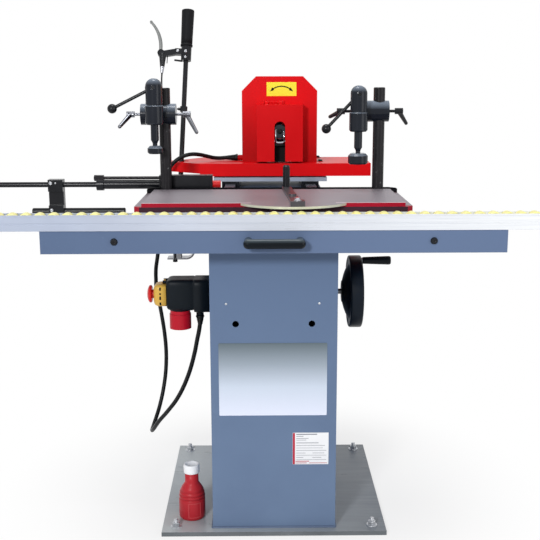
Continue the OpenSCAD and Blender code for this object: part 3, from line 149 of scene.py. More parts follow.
# one builder for every finish: colour with patches, grain, brushing, worn edges, rounded edges
def makeFinish(name, given):
    spec = {**finishBase, **given}
    mat, tree = newMaterial(name)
    middle = spec["midSpan"]
    where = put(tree, "TexCoord").outputs["Object"]
    patches = speckle(tree, where, spec["patchScale"], spec["patchDetail"])
    color = mixTone(tree, spread(tree, patches, *spec["patchSpan"]), tone(*spec["shade"]), tone(*spec["color"]))
    height = speckle(tree, where, spec["grain"])
    if "fleck" in spec:  # small spots of another colour, such as dust or bare metal
        spots = speckle(tree, where, spec["fleckScale"], spec["fleckDetail"])
        share = spread(tree, spots, *spec["fleckSpan"], 0.0, spec["fleckShare"])
        color = mixTone(tree, share, color, tone(*spec["fleck"]))
    if "drift" in spec:  # the colour drifts along one axis: painted light and shade on the hood, beam, rail and floor plate, and darker towards the top on the column
        share = spread(tree, axisOf(tree, where, spec["driftAxis"]), *spec["driftSpan"])
        color = mixTone(tree, share, color, tone(*spec["drift"]))
    if "topHighlight" in spec:  # faces that look up are paler: a painted highlight from the light above
        upward = axisOf(tree, put(tree, "TexCoord").outputs["Normal"], "Z")
        color = mixTone(tree, spread(tree, upward, *spec["topHighlightSpan"]), color, tone(*spec["topHighlight"]))
    low, high = spec["rough"] - spec["roughSpread"], spec["rough"] + spec["roughSpread"]
    rough = spread(tree, patches, *middle, low, high)
    if "brush" in spec:  # lines along one direction
        run = put(tree, "Mapping", {"Vector": where, "Scale": spec["brush"]}).outputs["Vector"]
        lines = speckle(tree, run, 1.0, spec["brushDetail"], spec["brushRoughness"])
        height = mixTone(tree, spec["brushHeight"], height, lines)
        color = mixTone(tree, spread(tree, lines, *middle, 0.0, spec["brushTone"]), color, tone(*spec["line"]))
        rough = math2(tree, "ADD", rough, spread(tree, lines, *middle, -spec["brushRough"], spec["brushRough"]))
    if "wear" in spec:  # the edges take another colour: lighter worn paint on the paints, darker on the bare steels
        flat = put(tree, "NewGeometry").outputs["Normal"]
        both = {0: roundNormal(tree, spec["wearWidth"]), 1: flat}
        turn = put(tree, "VectorMath", both, operation="DOT_PRODUCT").outputs["Value"]
        chips = speckle(tree, where, spec["chipScale"], spec["chipDetail"])
        share = math2(tree, "MULTIPLY", spread(tree, turn, *spec["wearTurn"]),
                      spread(tree, chips, *spec["chipSpan"], 0.0, spec["wearShare"]))
        color = mixTone(tree, share, color, tone(*spec["wear"]))
    relief = {"Height": height, "Strength": spec["bump"], "Distance": spec["bumpDepth"],
              "Normal": roundNormal(tree, spec["edge"])}
    looks = {"Base Color": color, "Roughness": rough, "Normal": put(tree, "Bump", relief).outputs["Normal"],
             "Metallic": spec["metal"], "Specular IOR Level": spec["gloss"]}
    for key, value in looks.items():
        feed(tree, tree.nodes["Principled BSDF"].inputs[key], value)
    mat.diffuse_color = tone(*spec["color"])
    return mat


finishSet = {
    "columnPaint": dict(color=(108, 128, 157), shade=(102, 121, 150), drift=(93, 112, 142), driftAxis="Z",
        driftSpan=(0.05, 0.8), fleck=(122, 138, 164), wear=(150, 160, 176), rough=0.46, grain=700, bump=0.12,
        gloss=0.14),
    # painted light: the beam's paint gets lighter towards its right end
    "beamPaint": dict(color=(87, 105, 135), shade=(83, 100, 130), drift=(98, 116, 147), driftSpan=(-0.5, 0.3),
        fleck=(118, 134, 160), wear=(150, 160, 176), rough=0.46, grain=700, bump=0.12, gloss=0.14),
    "headRed": dict(color=(226, 13, 21), shade=(216, 10, 18), wear=(236, 70, 74), wearShare=0.3, grain=620, bump=0.1,
        gloss=0.1, edge=0.0014),
    # painted light and shade: the hood's red is darker at the bottom and brighter towards its top
    "hoodRed": dict(color=(178, 6, 12), shade=(170, 5, 11), drift=(225, 13, 21), driftAxis="Z",
        driftSpan=(0.96, 1.13), wear=(236, 70, 74), wearShare=0.3, grain=620, bump=0.1, gloss=0.1, edge=0.0014),
    "castRed": dict(color=(178, 20, 46), shade=(154, 14, 36), wear=(214, 96, 108), rough=0.4, grain=420, bump=0.25,
        gloss=0.14),
    # painted shadow: a dark red-brown for the casting's front face under the table, where the rail and table shade it
    "castPaintedShadow": dict(color=(70, 44, 54), shade=(54, 34, 43), rough=0.55, grain=420, bump=0.25, gloss=0.1,
        edge=0.0012),
    # painted reflection and shade: the floor plate is lighter on the left and darker towards the right, where the
    # column shades it
    "floorPaint": dict(color=(196, 202, 204), shade=(176, 182, 186), drift=(112, 119, 128), driftSpan=(-0.3, 0.3),
        fleck=(112, 117, 123), fleckShare=0.3, fleckScale=120, wear=(206, 208, 210), wearShare=0.5,
        line=(190, 196, 200), brush=(3, 60, 60), brushTone=0.25, roughSpread=0.08, grain=380, patchScale=9, bump=0.12,
        gloss=0.4, edge=0.0012),
    # painted shade: a darker grey for the floor plate's edge faces
    "floorEdgeShade": dict(color=(116, 121, 125), shade=(100, 105, 109), rough=0.45, grain=380, bump=0.12, gloss=0.2,
        edge=0.0006),
    "blackSteel": dict(color=(24, 26, 31), shade=(16, 17, 21), wear=(84, 88, 96), wearShare=0.4, rough=0.27,
        grain=520, bump=0.06, gloss=0.22, edge=0.001),
    # painted highlight: the upward faces of the clamps and motor are paler
    "clampPaint": dict(color=(25, 30, 40), shade=(18, 22, 31), topHighlight=(126, 137, 152), wear=(120, 128, 140),
        wearWidth=0.0026, rough=0.16, grain=480, bump=0.05, gloss=0.22, edge=0.0014),
    # the posts' lighter vertical streaks are turning marks and also painted reflections; the pale flecks are scuffs
    "postSteel": dict(color=(30, 27, 30), shade=(20, 18, 20), fleck=(170, 172, 174), fleckShare=0.3, fleckScale=70,
        line=(70, 70, 74), brush=(900, 900, 14), brushTone=0.35, rough=0.28, grain=420, bump=0.06, gloss=0.14,
        metal=0.05, edge=0.001),
    # ground steel for the table, whose pink cast is a painted reflection of the red head
    "groundSteel": dict(color=(156, 148, 156), shade=(138, 130, 138), line=(130, 127, 132), brush=(6, 1100, 300),
        rough=0.46, patchScale=3, gloss=0.2, metal=0.4, edge=0.0008),
    "barSteel": dict(color=(92, 90, 95), shade=(74, 72, 77), wear=(150, 148, 152), wearShare=0.6, rough=0.32,
        bump=0.05, gloss=0.2, metal=0.5, edge=0.001),
    "saddleSteel": dict(color=(168, 176, 192), shade=(150, 158, 174), bump=0.05, gloss=0.3, metal=0.2, edge=0.001),
    "barBlack": dict(color=(30, 30, 34), shade=(22, 22, 25), rough=0.6, bump=0.08, gloss=0, edge=0.0012),
    # painted highlight: the pale pink of the table's front edge
    "edgeHighlight": dict(color=(226, 206, 214), shade=(206, 186, 195), metal=0.3, edge=0.0003),
    # painted highlight: the pale front edge of the arc plate
    "arcEdgeHighlight": dict(color=(226, 228, 204), shade=(196, 198, 182), rough=0.32, metal=0.3, edge=0.0004),
    "brushedSteel": dict(color=(166, 168, 174), shade=(140, 142, 148), wear=(84, 86, 90), wearShare=0.5,
        line=(110, 112, 118), brush=(700, 40, 700), rough=0.28, grain=600, bump=0.05, metal=1, edge=0.0008),
    "bladeSteel": dict(color=(150, 152, 150), shade=(122, 124, 124), wear=(70, 72, 74), wearShare=0.8,
        line=(96, 98, 98), brush=(700, 40, 700), grain=600, bump=0.05, metal=0.8, edge=0.0008),
    "lockSteel": dict(color=(132, 134, 140), shade=(96, 98, 104), wear=(58, 60, 66), wearShare=0.8, wearWidth=0.003,
        rough=0.2, patchScale=40, metal=1, edge=0.0012),
    "zincSteel": dict(color=(206, 208, 212), shade=(176, 179, 184), rough=0.32, grain=300, patchScale=60, bump=0.06,
        gloss=0.3, metal=0.7, edge=0.0006),
    # painted light and reflection: the rail turns near white towards its right end
    "railAlloy": dict(color=(168, 177, 195), shade=(162, 170, 188), drift=(252, 254, 255), line=(156, 164, 182),
        brush=(4, 900, 900), grain=800, metal=0.3, edge=0.0006),
    "chromeSteel": dict(color=(206, 208, 213), shade=(190, 192, 198), rough=0.14, bump=0.02, metal=1, edge=0.0006),
    "darkChuck": dict(color=(34, 42, 50), shade=(22, 28, 34), rough=0.25, bump=0.06, gloss=0.3, edge=0.0006),
    "bushBronze": dict(color=(196, 152, 88), shade=(172, 130, 72), rough=0.32, bump=0.05, metal=1, edge=0.0006),
    "rollerYellow": dict(color=(252, 246, 168), shade=(247, 239, 148), grain=300, bump=0.03, gloss=0.3, edge=0.001),
    "lidYellow": dict(color=(218, 177, 81), shade=(206, 161, 69), wear=(252, 236, 150), wearShare=0.3, grain=900,
        bump=0.08, gloss=0.3),
    "blackPlastic": dict(color=(12, 20, 27), shade=(8, 14, 20), wear=(52, 58, 64), wearShare=0.25, rough=0.4,
        grain=1100, bump=0.14, gloss=0.14),
    # painted highlight: the top of the handle is paler
    "wheelPlastic": dict(color=(7, 16, 24), shade=(5, 11, 17), topHighlight=(74, 86, 94), topHighlightSpan=(0.3, 1),
        wear=(44, 48, 54), wearShare=0.25, rough=0.17, bump=0.03, gloss=0.15, edge=0.002),
    "rimPlastic": dict(color=(17, 27, 38), shade=(12, 20, 30), wear=(44, 48, 54), wearShare=0.25, rough=0.36,
        bump=0.05, gloss=0.14, edge=0.002),
    "gripRubber": dict(color=(18, 19, 22), shade=(13, 14, 16), line=(30, 31, 34), brush=(900, 900, 30), brushTone=0.3,
        rough=0.55, grain=900, bump=0.2, gloss=0.12),
    "cableRubber": dict(color=(14, 17, 19), shade=(10, 12, 14), rough=0.4, grain=1200, bump=0.1, gloss=0.2,
        edge=0.0005),
    "signalRed": dict(color=(214, 40, 38), shade=(198, 26, 30), rough=0.3, grain=900, bump=0.06, gloss=0.25,
        edge=0.0014),
    "plugRed": dict(color=(188, 42, 52), shade=(168, 34, 44), wear=(216, 96, 98), wearShare=0.35, grain=800, bump=0.1,
        gloss=0.2),
    "inletRed": dict(color=(190, 20, 42), shade=(172, 14, 34), grain=800, bump=0.08, gloss=0.2),
    "panelRed": dict(color=(198, 72, 78), shade=(186, 60, 66), rough=0.4, grain=800, bump=0.08, gloss=0.2,
        edge=0.0004),
    "capWhite": dict(color=(248, 250, 253), shade=(242, 245, 250), rough=0.38, grain=900, bump=0.05, gloss=0.3,
        edge=0.0014),
    "beadPaint": dict(color=(98, 114, 140), shade=(86, 101, 128), fleck=(196, 206, 210), fleckShare=0.6,
        fleckScale=60, rough=0.4, grain=300, bump=0.3, gloss=0.3, edge=0.0004),
    "markBlack": dict(color=(20, 20, 22), shade=(16, 16, 18), rough=0.5, grain=900, gloss=0.1, edge=0.0002),
    "markGrey": dict(color=(112, 116, 128), shade=(102, 106, 118), rough=0.5, grain=900, gloss=0.1, edge=0.0002),
    "markRed": dict(color=(184, 28, 58), shade=(174, 24, 52), rough=0.5, grain=900, gloss=0.1, edge=0.0002),
    "labelYellow": dict(color=(255, 243, 72), shade=(253, 238, 64), rough=0.42, grain=900, gloss=0.15, edge=0.0003),
}
finish = {name: makeFinish(name, spec) for name, spec in finishSet.items()}
print("finishes made:", len(finish))


# mesh helpers: a mesh is a pair of points and faces, and a piece is made of one or more of them
def joinMeshes(parts):
    points, faces = [], []
    for more, moreFaces in parts:
        faces += [tuple(k + len(points) for k in f) for f in moreFaces]
        points += list(more)
    return points, faces


def newPiece(name, parts, mat, body, smooth=True):
    points, faces = joinMeshes(parts)
    mesh = bpy.data.meshes.new(name)
    mesh.from_pydata([tuple(p) for p in points], [], faces)
    mesh.validate()
    shape = bmesh.new()
    shape.from_mesh(mesh)
    bmesh.ops.recalc_face_normals(shape, faces=shape.faces)
    shape.to_mesh(mesh)
    shape.free()
    mesh.materials.append(finish[mat])
    for face in mesh.polygons:
        face.use_smooth = smooth
    piece = addObject(name, mesh)
    if body:
        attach(piece, body)
    return piece


def standAt(spot, angle=0.0, axis="Z"):
    return Matrix.Translation(spot) @ Matrix.Rotation(radians(angle), 4, axis)


def smoothLine(route, steps=8):
    pts = [Vector(p) for p in route]
    line = []
    for i in range(len(pts) - 1):
        before = pts[i - 1] if i > 0 else pts[i] * 2 - pts[i + 1]
        after = pts[i + 2] if i + 2 < len(pts) else pts[i + 1] * 2 - pts[i]
        a, b = pts[i], pts[i + 1]
        for k in range(steps):
            t = k / steps
            line.append(0.5 * (2 * a + (b - before) * t + (2 * before - 5 * a + 4 * b - after) * t * t
                               + (3 * a - before - 3 * b + after) * t ** 3))
    line.append(pts[-1])
    return line


def lineLength(line):
    return sum((b - a).length for a, b in zip(line, line[1:]))


def ringFaces(rings, sides, closed=False):  # quads between rings of points, and a cap at each open end
    faces = []
    for i in range(rings if closed else rings - 1):
        j = (i + 1) % rings
        for k in range(sides):
            m = (k + 1) % sides
            faces.append((i * sides + k, i * sides + m, j * sides + m, j * sides + k))
    if not closed:
        faces.append(tuple(reversed(range(sides))))
        faces.append(tuple(range((rings - 1) * sides, rings * sides)))
    return faces


def circleTurns(count):
    return [2 * pi * k / count for k in range(count)]


def tubeMesh(line, radius, sides=16, closed=False):
    count = len(line)
    points = []
    across = None
    for i, spot in enumerate(line):
        if closed or 0 < i < count - 1:
            ahead = line[(i + 1) % count] - line[i - 1]
        else:
            ahead = line[1] - line[0] if i == 0 else line[-1] - line[-2]
        ahead.normalize()
        if across is None:
            across = ahead.orthogonal()
        across = (across - ahead * across.dot(ahead)).normalized()
        other = ahead.cross(across)
        width = radius(i) if callable(radius) else radius
        points += [spot + (across * cos(a) + other * sin(a)) * width for a in circleTurns(sides)]
    return points, ringFaces(count, sides, closed)


def latheMesh(profile, stand, steps=40):  # pairs of radius and height, turned round the height axis of stand
    points = [stand @ Vector((radius * cos(a), radius * sin(a), height))
              for radius, height in profile for a in circleTurns(steps)]
    return points, ringFaces(len(profile), steps)


def loftRings(rings, closed=False):
    return [p for ring in rings for p in ring], ringFaces(len(rings), len(rings[0]), closed)


def slabMesh(low, high):
    xs, ys, zs = zip(low, high)
    corners = [Vector((x, y, z)) for x in xs for y in ys for z in zs]
    return corners, [(0, 1, 3, 2), (4, 6, 7, 5), (0, 4, 5, 1), (2, 3, 7, 6), (0, 2, 6, 4), (1, 5, 7, 3)]


axisGap = 0.0001  # turned profiles start this far from their axis


def rodProfile(radius, tall):
    return [(axisGap, 0.0), (radius, 0.0), (radius, tall), (axisGap, tall)]


# cables: the motor lead in three runs, as in the source, and the brake cable
cableSet = dict(
    thick=0.012, brakeThick=0.005,
    motorRun=[(-102, 335, 951), (-120, 335, 951), (-138, 335, 951), (-158, 330, 950), (-178, 320, 952),
        (-198, 305, 958), (-218, 288, 964), (-238, 272, 967), (-257, 260, 965), (-275, 253, 958), (-291, 251, 947),
        (-304, 253, 933), (-313, 257, 917), (-317, 260, 899), (-318, 260, 880), (-318, 260, 868)],
    dropRun=[(-318, 260, 868), (-318, 260, 852), (-320, 259, 830), (-324, 257, 804), (-329, 253, 775),
        (-335, 248, 743), (-341, 241, 710), (-347, 233, 676), (-351, 226, 648), (-354, 220, 626), (-355, 217, 606),
        (-355, 217, 590)],
    loopRun=[(-355, 217, 590), (-355, 217, 568), (-351, 215, 540), (-344, 211, 506), (-332, 203, 428),
        (-327, 195, 363), (-329, 184, 302), (-337, 168, 246), (-348, 147, 199), (-359, 116, 166), (-363, 77, 155),
        (-354, 39, 172), (-333, 4, 210), (-305, -26, 250), (-275, -54, 296), (-251, -78, 345), (-231, -100, 399),
        (-216, -120, 454), (-207, -136, 497), (-201, -145, 524), (-197, -150, 551), (-197, -150, 570)],
    brakeRun=[(-73, 0, 543), (-73, 0, 527), (-72, 1, 504), (-69, 2, 481), (-62, 3, 461), (-51, 3, 445), (-35, 2, 435),
        (-27, 0, 432), (-17, 0, 432)],
    leadBend=("carriage", "saddle", (-0.145, 0.334, 0.951), (-0.316, 0.26, 0.905)),
    dropBend=("saddle", "stand", (-0.318, 0.26, 0.855), (-0.355, 0.217, 0.6)))
leverSet = dict(foot=(-0.29, 0.255, 0.682), sideways=2.6, back=-15.0)
leverFrame = (standAt(leverSet["foot"], leverSet["sideways"], "Y")
              @ Matrix.Rotation(radians(leverSet["back"]), 4, "X"))


def inMetres(route):
    return [Vector(p) / 1000 for p in route]


def layCable(name, run, node, body=None, bend=None):
    line = smoothLine(inMetres(cableSet[run]))
    piece = newPiece(name, [tubeMesh(line, cableSet["thick"] / 2)], "cableRubber", body)
    if bend:
        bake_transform(piece)
    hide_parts(node)
    print(name, "is", round(lineLength(line), 3), "m long")


layCable("motorLead", "motorRun", "motor_cable", bend=cableSet["leadBend"])
layCable("hangingLead", "dropRun", "cable_drop", bend=cableSet["dropBend"])
layCable("switchLead", "loopRun", "cable_loop", body="stand")
brakeLine = [leverFrame @ p for p in smoothLine(inMetres(cableSet["brakeRun"]))]
brakeTube = newPiece("brakeCable", [tubeMesh(brakeLine, cableSet["brakeThick"] / 2, 12)], "cableRubber", "lever")
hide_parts("bowden_cable")

# ribbed strain reliefs where the lead leaves the hood and the switch
bootSet = dict(
    thick=0.0098, thin=0.0068, bore=0.0061, grooveDepth=0.0012, grooveFloor=0.0064, collar=((0.0012, 0.0),
        (0.0016, 0.0012), (0.0016, 0.004), (0.0, 0.0052)), firstRib=0.006, smooth=0.0085, tip=(0.0004, 0.0018),
    crest=0.55, groove=(0.65, 0.92), hood=dict(place=((-0.1035, 0.335, 0.951), -90, "Y"), length=0.034, ribs=6),
    switch=dict(place=((-0.197, -0.15, 0.569), 180, "X"), length=0.024, ribs=4))


def bootMesh(spec, own):
    thick, thin, bore, length = spec["thick"], spec["thin"], spec["bore"], own["length"]
    profile = [(bore, 0.0)] + [(thick + out, high) for out, high in spec["collar"]]
    ribSpan = (length - spec["smooth"]) / own["ribs"]
    for i in range(own["ribs"]):
        radius = thick + (thin - thick) * (i / own["ribs"])
        base = spec["firstRib"] + ribSpan * i
        groove = max(radius - spec["grooveDepth"], spec["grooveFloor"])
        profile += [(radius, base), (radius, base + spec["crest"] * ribSpan)]
        profile += [(groove, base + share * ribSpan) for share in spec["groove"]]
    cut, back = spec["tip"]
    profile += [(thin, length - back), (thin - cut, length), (bore, length)]
    return latheMesh(profile, standAt(*own["place"]), 32)


newPiece("hoodBoot", [bootMesh(bootSet, bootSet["hood"])], "cableRubber", "carriage")
newPiece("switchBoot", [bootMesh(bootSet, bootSet["switch"])], "cableRubber", "stand")
print("cables laid")


# CAD nodes: a finish for each, and others for the faces that a test picks by their place
def dressNode(name, mat, *others):
    mesh = nodes[name].data
    mesh.materials.clear()
    for each in (mat, *(second for second, test in others)):
        mesh.materials.append(finish[each])
    for face in mesh.polygons:
        face.material_index = 0
        for index, (second, test) in enumerate(others):
            if test(face.center):
                face.material_index = index + 1


def onLever(spot):
    return leverFrame.inverted() @ spot


plainDress = {
    "columnPaint": "column column_top", "beamPaint": "support_beam", "headRed": "chuck_guard head_plate",
    "hoodRed": "hood", "barBlack": "rear_bar", "lockSteel": "left_inner_lock left_outer_lock",
    "blackSteel": "left_cam_lever right_cam_lever right_inner_lock right_outer_lock stop_slide_rod stop_plate stop_rod "
                  "stop_pin lever_rod",
    "clampPaint": "left_carrier right_carrier left_plunger right_plunger",
    "brushedSteel": "lever_bracket lever_cross lift_guides", "bladeSteel": "brake_blade",
    "zincSteel": "levelling_bolts lift_screw", "postSteel": "left_post right_post", "railAlloy": "roller_rail",
    "rollerYellow": "rollers", "blackPlastic": "crank_grip switch_box", "wheelPlastic": "pull_handle",
    "lidYellow": "switch_lid", "signalRed": "stop_button", "inletRed": "power_inlet", "gripRubber": "lever_grip",
    "cableRubber": "cable_loop cable_drop motor_cable bowden_cable",
}
for mat, names in plainDress.items():
    for name in names.split():
        dressNode(name, mat)
dressNode("head_pedestal", "columnPaint", ("blackSteel", lambda c: c.y < 0.1005 or c.z > 0.8681))
dressNode("mitre_bar", "barSteel", ("chromeSteel", lambda c: c.z > 0.9041))
# the floor plate's edge faces get the painted shade
dressNode("base_plate", "floorPaint", ("floorEdgeShade", lambda c: c.z < 0.0115 and max(abs(c.x), abs(c.y)) > 0.2985))
# the casting's front face below the table gets the painted shadow
dressNode("table_base", "castRed", ("castPaintedShadow", lambda c: c.y < -0.2799 and abs(c.x) < 0.334 and c.z < 0.8799))
dressNode("table_top", "groundSteel", ("castRed", lambda c: c.y < -0.2799 or abs(c.x) > 0.3299))
# the arc plate's edge faces get the painted highlight
dressNode("arc_plate", "groundSteel", ("arcEdgeHighlight", lambda c: 0.8842 < c.z < 0.8898))
dressNode("lift_housing", "columnPaint", ("bushBronze", lambda c: c.z > 0.7655 or c.x > 0.1525))
dressNode("support_carrier", "columnPaint", ("blackSteel", lambda c: abs(c.x) > 0.3521))
dressNode("guide_rods", "brushedSteel", ("blackSteel", lambda c: c.y < -0.389))
dressNode("saddle", "saddleSteel", ("blackSteel", lambda c: c.z < 0.888))
dressNode("motor", "clampPaint", ("blackPlastic", lambda c: c.y > 0.454))
dressNode("chuck", "chromeSteel", ("darkChuck", lambda c: hypot(c.x - 0.026, c.z - 1.037) < 0.0205))
dressNode("stop_holder", "blackSteel", ("postSteel", lambda c: c.z > 0.9115 and c.x < -0.18),
          ("signalRed", lambda c: c.x > -0.1692))
dressNode("cross_shaft", "zincSteel", ("blackSteel", lambda c: c.x > 0.16))
dressNode("handwheel", "rimPlastic", ("zincSteel", lambda c: c.x > 0.2455))
dressNode("loose_plug", "plugRed", ("capWhite", lambda c: c.z > 0.1305))
dressNode("brake_bracket", "blackSteel", ("brushedSteel", lambda c: onLever(c).z < 0.5625))
print("nodes dressed")


# plates on the column front: bare, or with plain rules
def plateMesh(box, y, thick, corner, edge=0.0004, cuts=5):
    x0, x1, z0, z1 = box
    left, right, low, high = x0 + corner, x1 - corner, z0 + corner, z1 - corner
    outline = []
    for cx, cz, start in ((right, high, 0), (left, high, 90), (left, low, 180), (right, low, 270)):
        for k in range(cuts + 1):
            turn = radians(start + 90 * k / cuts)
            c, d = cos(turn), sin(turn)
            outline.append((cx + corner * c, cz + corner * d, c, d))
    rings = [[(px - nx * inset, y - depth, pz - nz * inset) for px, pz, nx, nz in outline]
             for inset, depth in ((0, 0), (0, thick - edge), (edge, thick))]
    return loftRings(rings)


def gradientFinish(name, spec, box):  # colours that change up the plate
    mat, tree = newMaterial(name)
    where = put(tree, "TexCoord").outputs["Object"]
    ramp = put(tree, "ValToRGB", {"Fac": spread(tree, axisOf(tree, where, "Z"), box[2], box[3])})
    stops, marks = spec["stops"], ramp.color_ramp.elements
    for mark, (spot, color) in ((marks[0], stops[0]), (marks[1], stops[-1])):
        mark.color, mark.position = tone(*color), spot
    for spot, color in stops[1:-1]:
        marks.new(spot).color = tone(*color)
    grain = speckle(tree, where, spec["grain"])
    share = spread(tree, grain, *spec["grainSpan"], 0.0, spec["grainShare"])
    low, high = spec["rough"] - spec["roughSpread"], spec["rough"] + spec["roughSpread"]
    relief = {"Height": grain, "Strength": spec["bump"], "Distance": spec["bumpDepth"]}
    looks = {"Base Color": mixTone(tree, share, ramp.outputs["Color"], tone(*spec["grainTone"])),
             "Normal": put(tree, "Bump", relief).outputs["Normal"],
             "Roughness": spread(tree, grain, *spec["grainSpan"], low, high)}
    for key, value in looks.items():
        feed(tree, tree.nodes["Principled BSDF"].inputs[key], value)
    return mat


printBase = dict(
    grain=900.0, grainSpan=(0.3, 0.7), grainShare=0.05, grainTone=(150, 154, 162), bump=0.04, bumpDepth=0.0003,
    roughSpread=0.04)
plateSet = dict(
    front=-0.2751, thick=0.0009, name=(-0.1429, 0.1383, 0.3296, 0.5261), nameCorner=0.002,
    namePrint=dict(**printBase, rough=0.38, stops=((0.0, (224, 230, 248)), (0.4, (200, 211, 227)),
        (0.7, (150, 162, 175)), (1.0, (86, 101, 109)))),
    type=(0.0493, 0.1441, 0.1925, 0.2811), typeCorner=0.001,
    typePrint=dict(**printBase, rough=0.42, stops=((0.0, (232, 234, 238)), (1.0, (240, 241, 244)))),
    stripe=0.006, stripeInset=0.0006, stripeThick=0.00015, stripeEdge=0.00005, ruleThick=0.001, rulePrint=0.00012,
    ruleEdge=0.00004, ruleCorner=0.0002,
    darkLines=((0.1, 0.68, 0.95, 2.2), (0.1, 0.3, 0.89, 1.4), (0.1, 0.44, 0.82, 1.2), (0.1, 0.38, 0.77, 1.2),
        (0.1, 0.72, 0.68, 1.6), (0.1, 0.9, 0.6, 1.0), (0.1, 0.84, 0.52, 0.8), (0.1, 0.94, 0.44, 0.9),
        (0.1, 0.36, 0.36, 1.0), (0.55, 0.88, 0.36, 1.0), (0.1, 0.94, 0.29, 0.9), (0.1, 0.3, 0.22, 1.0),
        (0.55, 0.8, 0.22, 1.0), (0.1, 0.94, 0.15, 0.8)),
    redLines=((0.08, 0.46, 0.1, 2.0), (0.08, 0.4, 0.045, 1.6), (0.46, 0.96, 0.045, 1.4)))
plateFace = plateSet["front"] - plateSet["thick"]
for kind in ("name", "type"):
    finish[kind + "Print"] = gradientFinish(kind + "Print", plateSet[kind + "Print"], plateSet[kind])
    plate = plateMesh(plateSet[kind], plateSet["front"], plateSet["thick"], plateSet[kind + "Corner"])
    newPiece(kind + "Plate", [plate], kind + "Print", "stand", smooth=False)


def stripeMesh(spec):
    x0, x1, z0, z1 = spec["type"]
    inset = spec["stripeInset"]
    box = (x0 + inset, x0 + spec["stripe"], z0 + inset, z1 - inset)
    return plateMesh(box, plateFace, spec["stripeThick"], spec["ruleCorner"], spec["stripeEdge"])


def ruleMeshes(spec, lines):  # each runs from one share of the plate's width to another, at a share of its height
    x0, x1, z0, z1 = spec["type"]
    for start, end, share, weight in lines:
        height, half = z0 + (z1 - z0) * share, spec["ruleThick"] * weight / 2
        box = (x0 + (x1 - x0) * start, x0 + (x1 - x0) * end, height - half, height + half)
        yield plateMesh(box, plateFace, spec["rulePrint"], spec["ruleCorner"], spec["ruleEdge"])


newPiece("typeStripe", [stripeMesh(plateSet)], "markRed", "stand", smooth=False)
newPiece("typeRules", ruleMeshes(plateSet, plateSet["darkLines"]), "markGrey", "stand", smooth=False)
newPiece("typeRedRules", ruleMeshes(plateSet, plateSet["redLines"]), "markRed", "stand", smooth=False)
print("plates set")

# yellow plate on the hood with a plain curved arrow, and the rivets of the column front
labelSet = dict(
    box=(-0.0129, 0.0771, 1.1404, 1.1816), front=0.2799, thick=0.0007, corner=0.0012, radius=0.046, half=34.0,
    width=0.0034, head=0.012, headWide=1.5, tuck=0.001, drop=0.0375, lift=0.0001, print=0.0001, steps=20)
label = plateMesh(labelSet["box"], labelSet["front"], labelSet["thick"], labelSet["corner"])
newPiece("arrowPlate", [label], "labelYellow", "carriage", smooth=False)


def arrowMesh(spec):
    x0, x1, z0, z1 = spec["box"]
    middle, base = (x0 + x1) / 2, (z0 + z1) / 2 - spec["drop"]
    y = spec["front"] - spec["thick"] - spec["lift"]
    half, width, steps, tuck = spec["half"], spec["width"], spec["steps"], spec["tuck"]
    points, faces = [], []
    for i in range(steps + 1):
        turn = radians(-half + 2 * half * i / steps)
        for radius in (spec["radius"] - width / 2, spec["radius"] + width / 2):
            points.append((middle + radius * sin(turn), y, base + radius * cos(turn)))
    for i in range(steps):
        faces.append((2 * i, 2 * i + 2, 2 * i + 3, 2 * i + 1))
    for sign in (-1, 1):
        turn = radians(sign * half)
        out = Vector((sin(turn), 0, cos(turn)))
        along = Vector((cos(turn), 0, -sin(turn))) * sign
        root = Vector((middle, y, base)) + out * spec["radius"]
        wing = out * width * spec["headWide"]
        start = len(points)
        points += [root - along * tuck + wing, root - along * tuck - wing, root + along * spec["head"] - out * tuck]
        faces.append((start, start + 2, start + 1) if sign < 0 else (start, start + 1, start + 2))
    return points, faces


arrow = newPiece("arrowMark", [arrowMesh(labelSet)], "markBlack", "carriage", smooth=False)
shell = arrow.modifiers.new("thickness", "SOLIDIFY")
shell.thickness, shell.offset = labelSet["print"], 0.0
rivetSet = dict(
    places=((-0.122, -0.275, 0.6303), (0.1166, -0.275, 0.6309)), radius=0.0032, tall=0.0017, sunk=0.0004,
    eye=0.0002, cuts=9)
rivetDome = [(axisGap, -rivetSet["sunk"])]
rivetDome += [(rivetSet["radius"] * cos(a), rivetSet["tall"] * sin(a))
              for a in [radians(10 * k) for k in range(rivetSet["cuts"])]]
rivetDome += [(rivetSet["eye"], rivetSet["tall"])]
newPiece("frontRivets", [latheMesh(rivetDome, standAt(spot, 90, "X"), 20) for spot in rivetSet["places"]], "zincSteel",
         "stand")

# bright screws on the end stop and the brake bracket, dark ones with washers on the hood's foot
screwSet = dict(
    stop=dict(places=((-0.6275, 0.056, 0.904), (-0.6275, 0.056, 0.827), (-0.614, 0.056, 0.904)),
        radius=(0.0048, 0.0048, 0.0024)),
    brake=dict(places=((-0.026, -0.011, 0.613), (-0.001, -0.0162, 0.611), (-0.001, -0.0162, 0.593)),
        radius=(0.0042, 0.0042, 0.0034)),
    foot=dict(places=((0.152, 0.3, 0.942), (0.152, 0.436, 0.942), (-0.1, 0.436, 0.942), (-0.1, 0.372, 0.942)),
        radius=(0.0062,) * 4),
    headTall=0.9, recess=0.35, head=((0.5, 0.4), (0.52, 1.0), (0.86, 1.0), (1.0, 0.84), (1.0, 0.0)), root=0.9,
    sunk=0.0004, washer=dict(bore=0.003, wider=0.003, thick=0.0012))


def screwMeshes(kind, angle=90, base=Matrix()):  # socket heads with their recess
    for spot, radius in zip(screwSet[kind]["places"], screwSet[kind]["radius"]):
        tall = screwSet["headTall"] * radius
        profile = [(axisGap, screwSet["recess"] * tall)] + [(a * radius, b * tall) for a, b in screwSet["head"]]
        profile.append((screwSet["root"] * radius, -screwSet["sunk"]))
        yield latheMesh(profile, base @ standAt(spot, angle, "X"), 24)


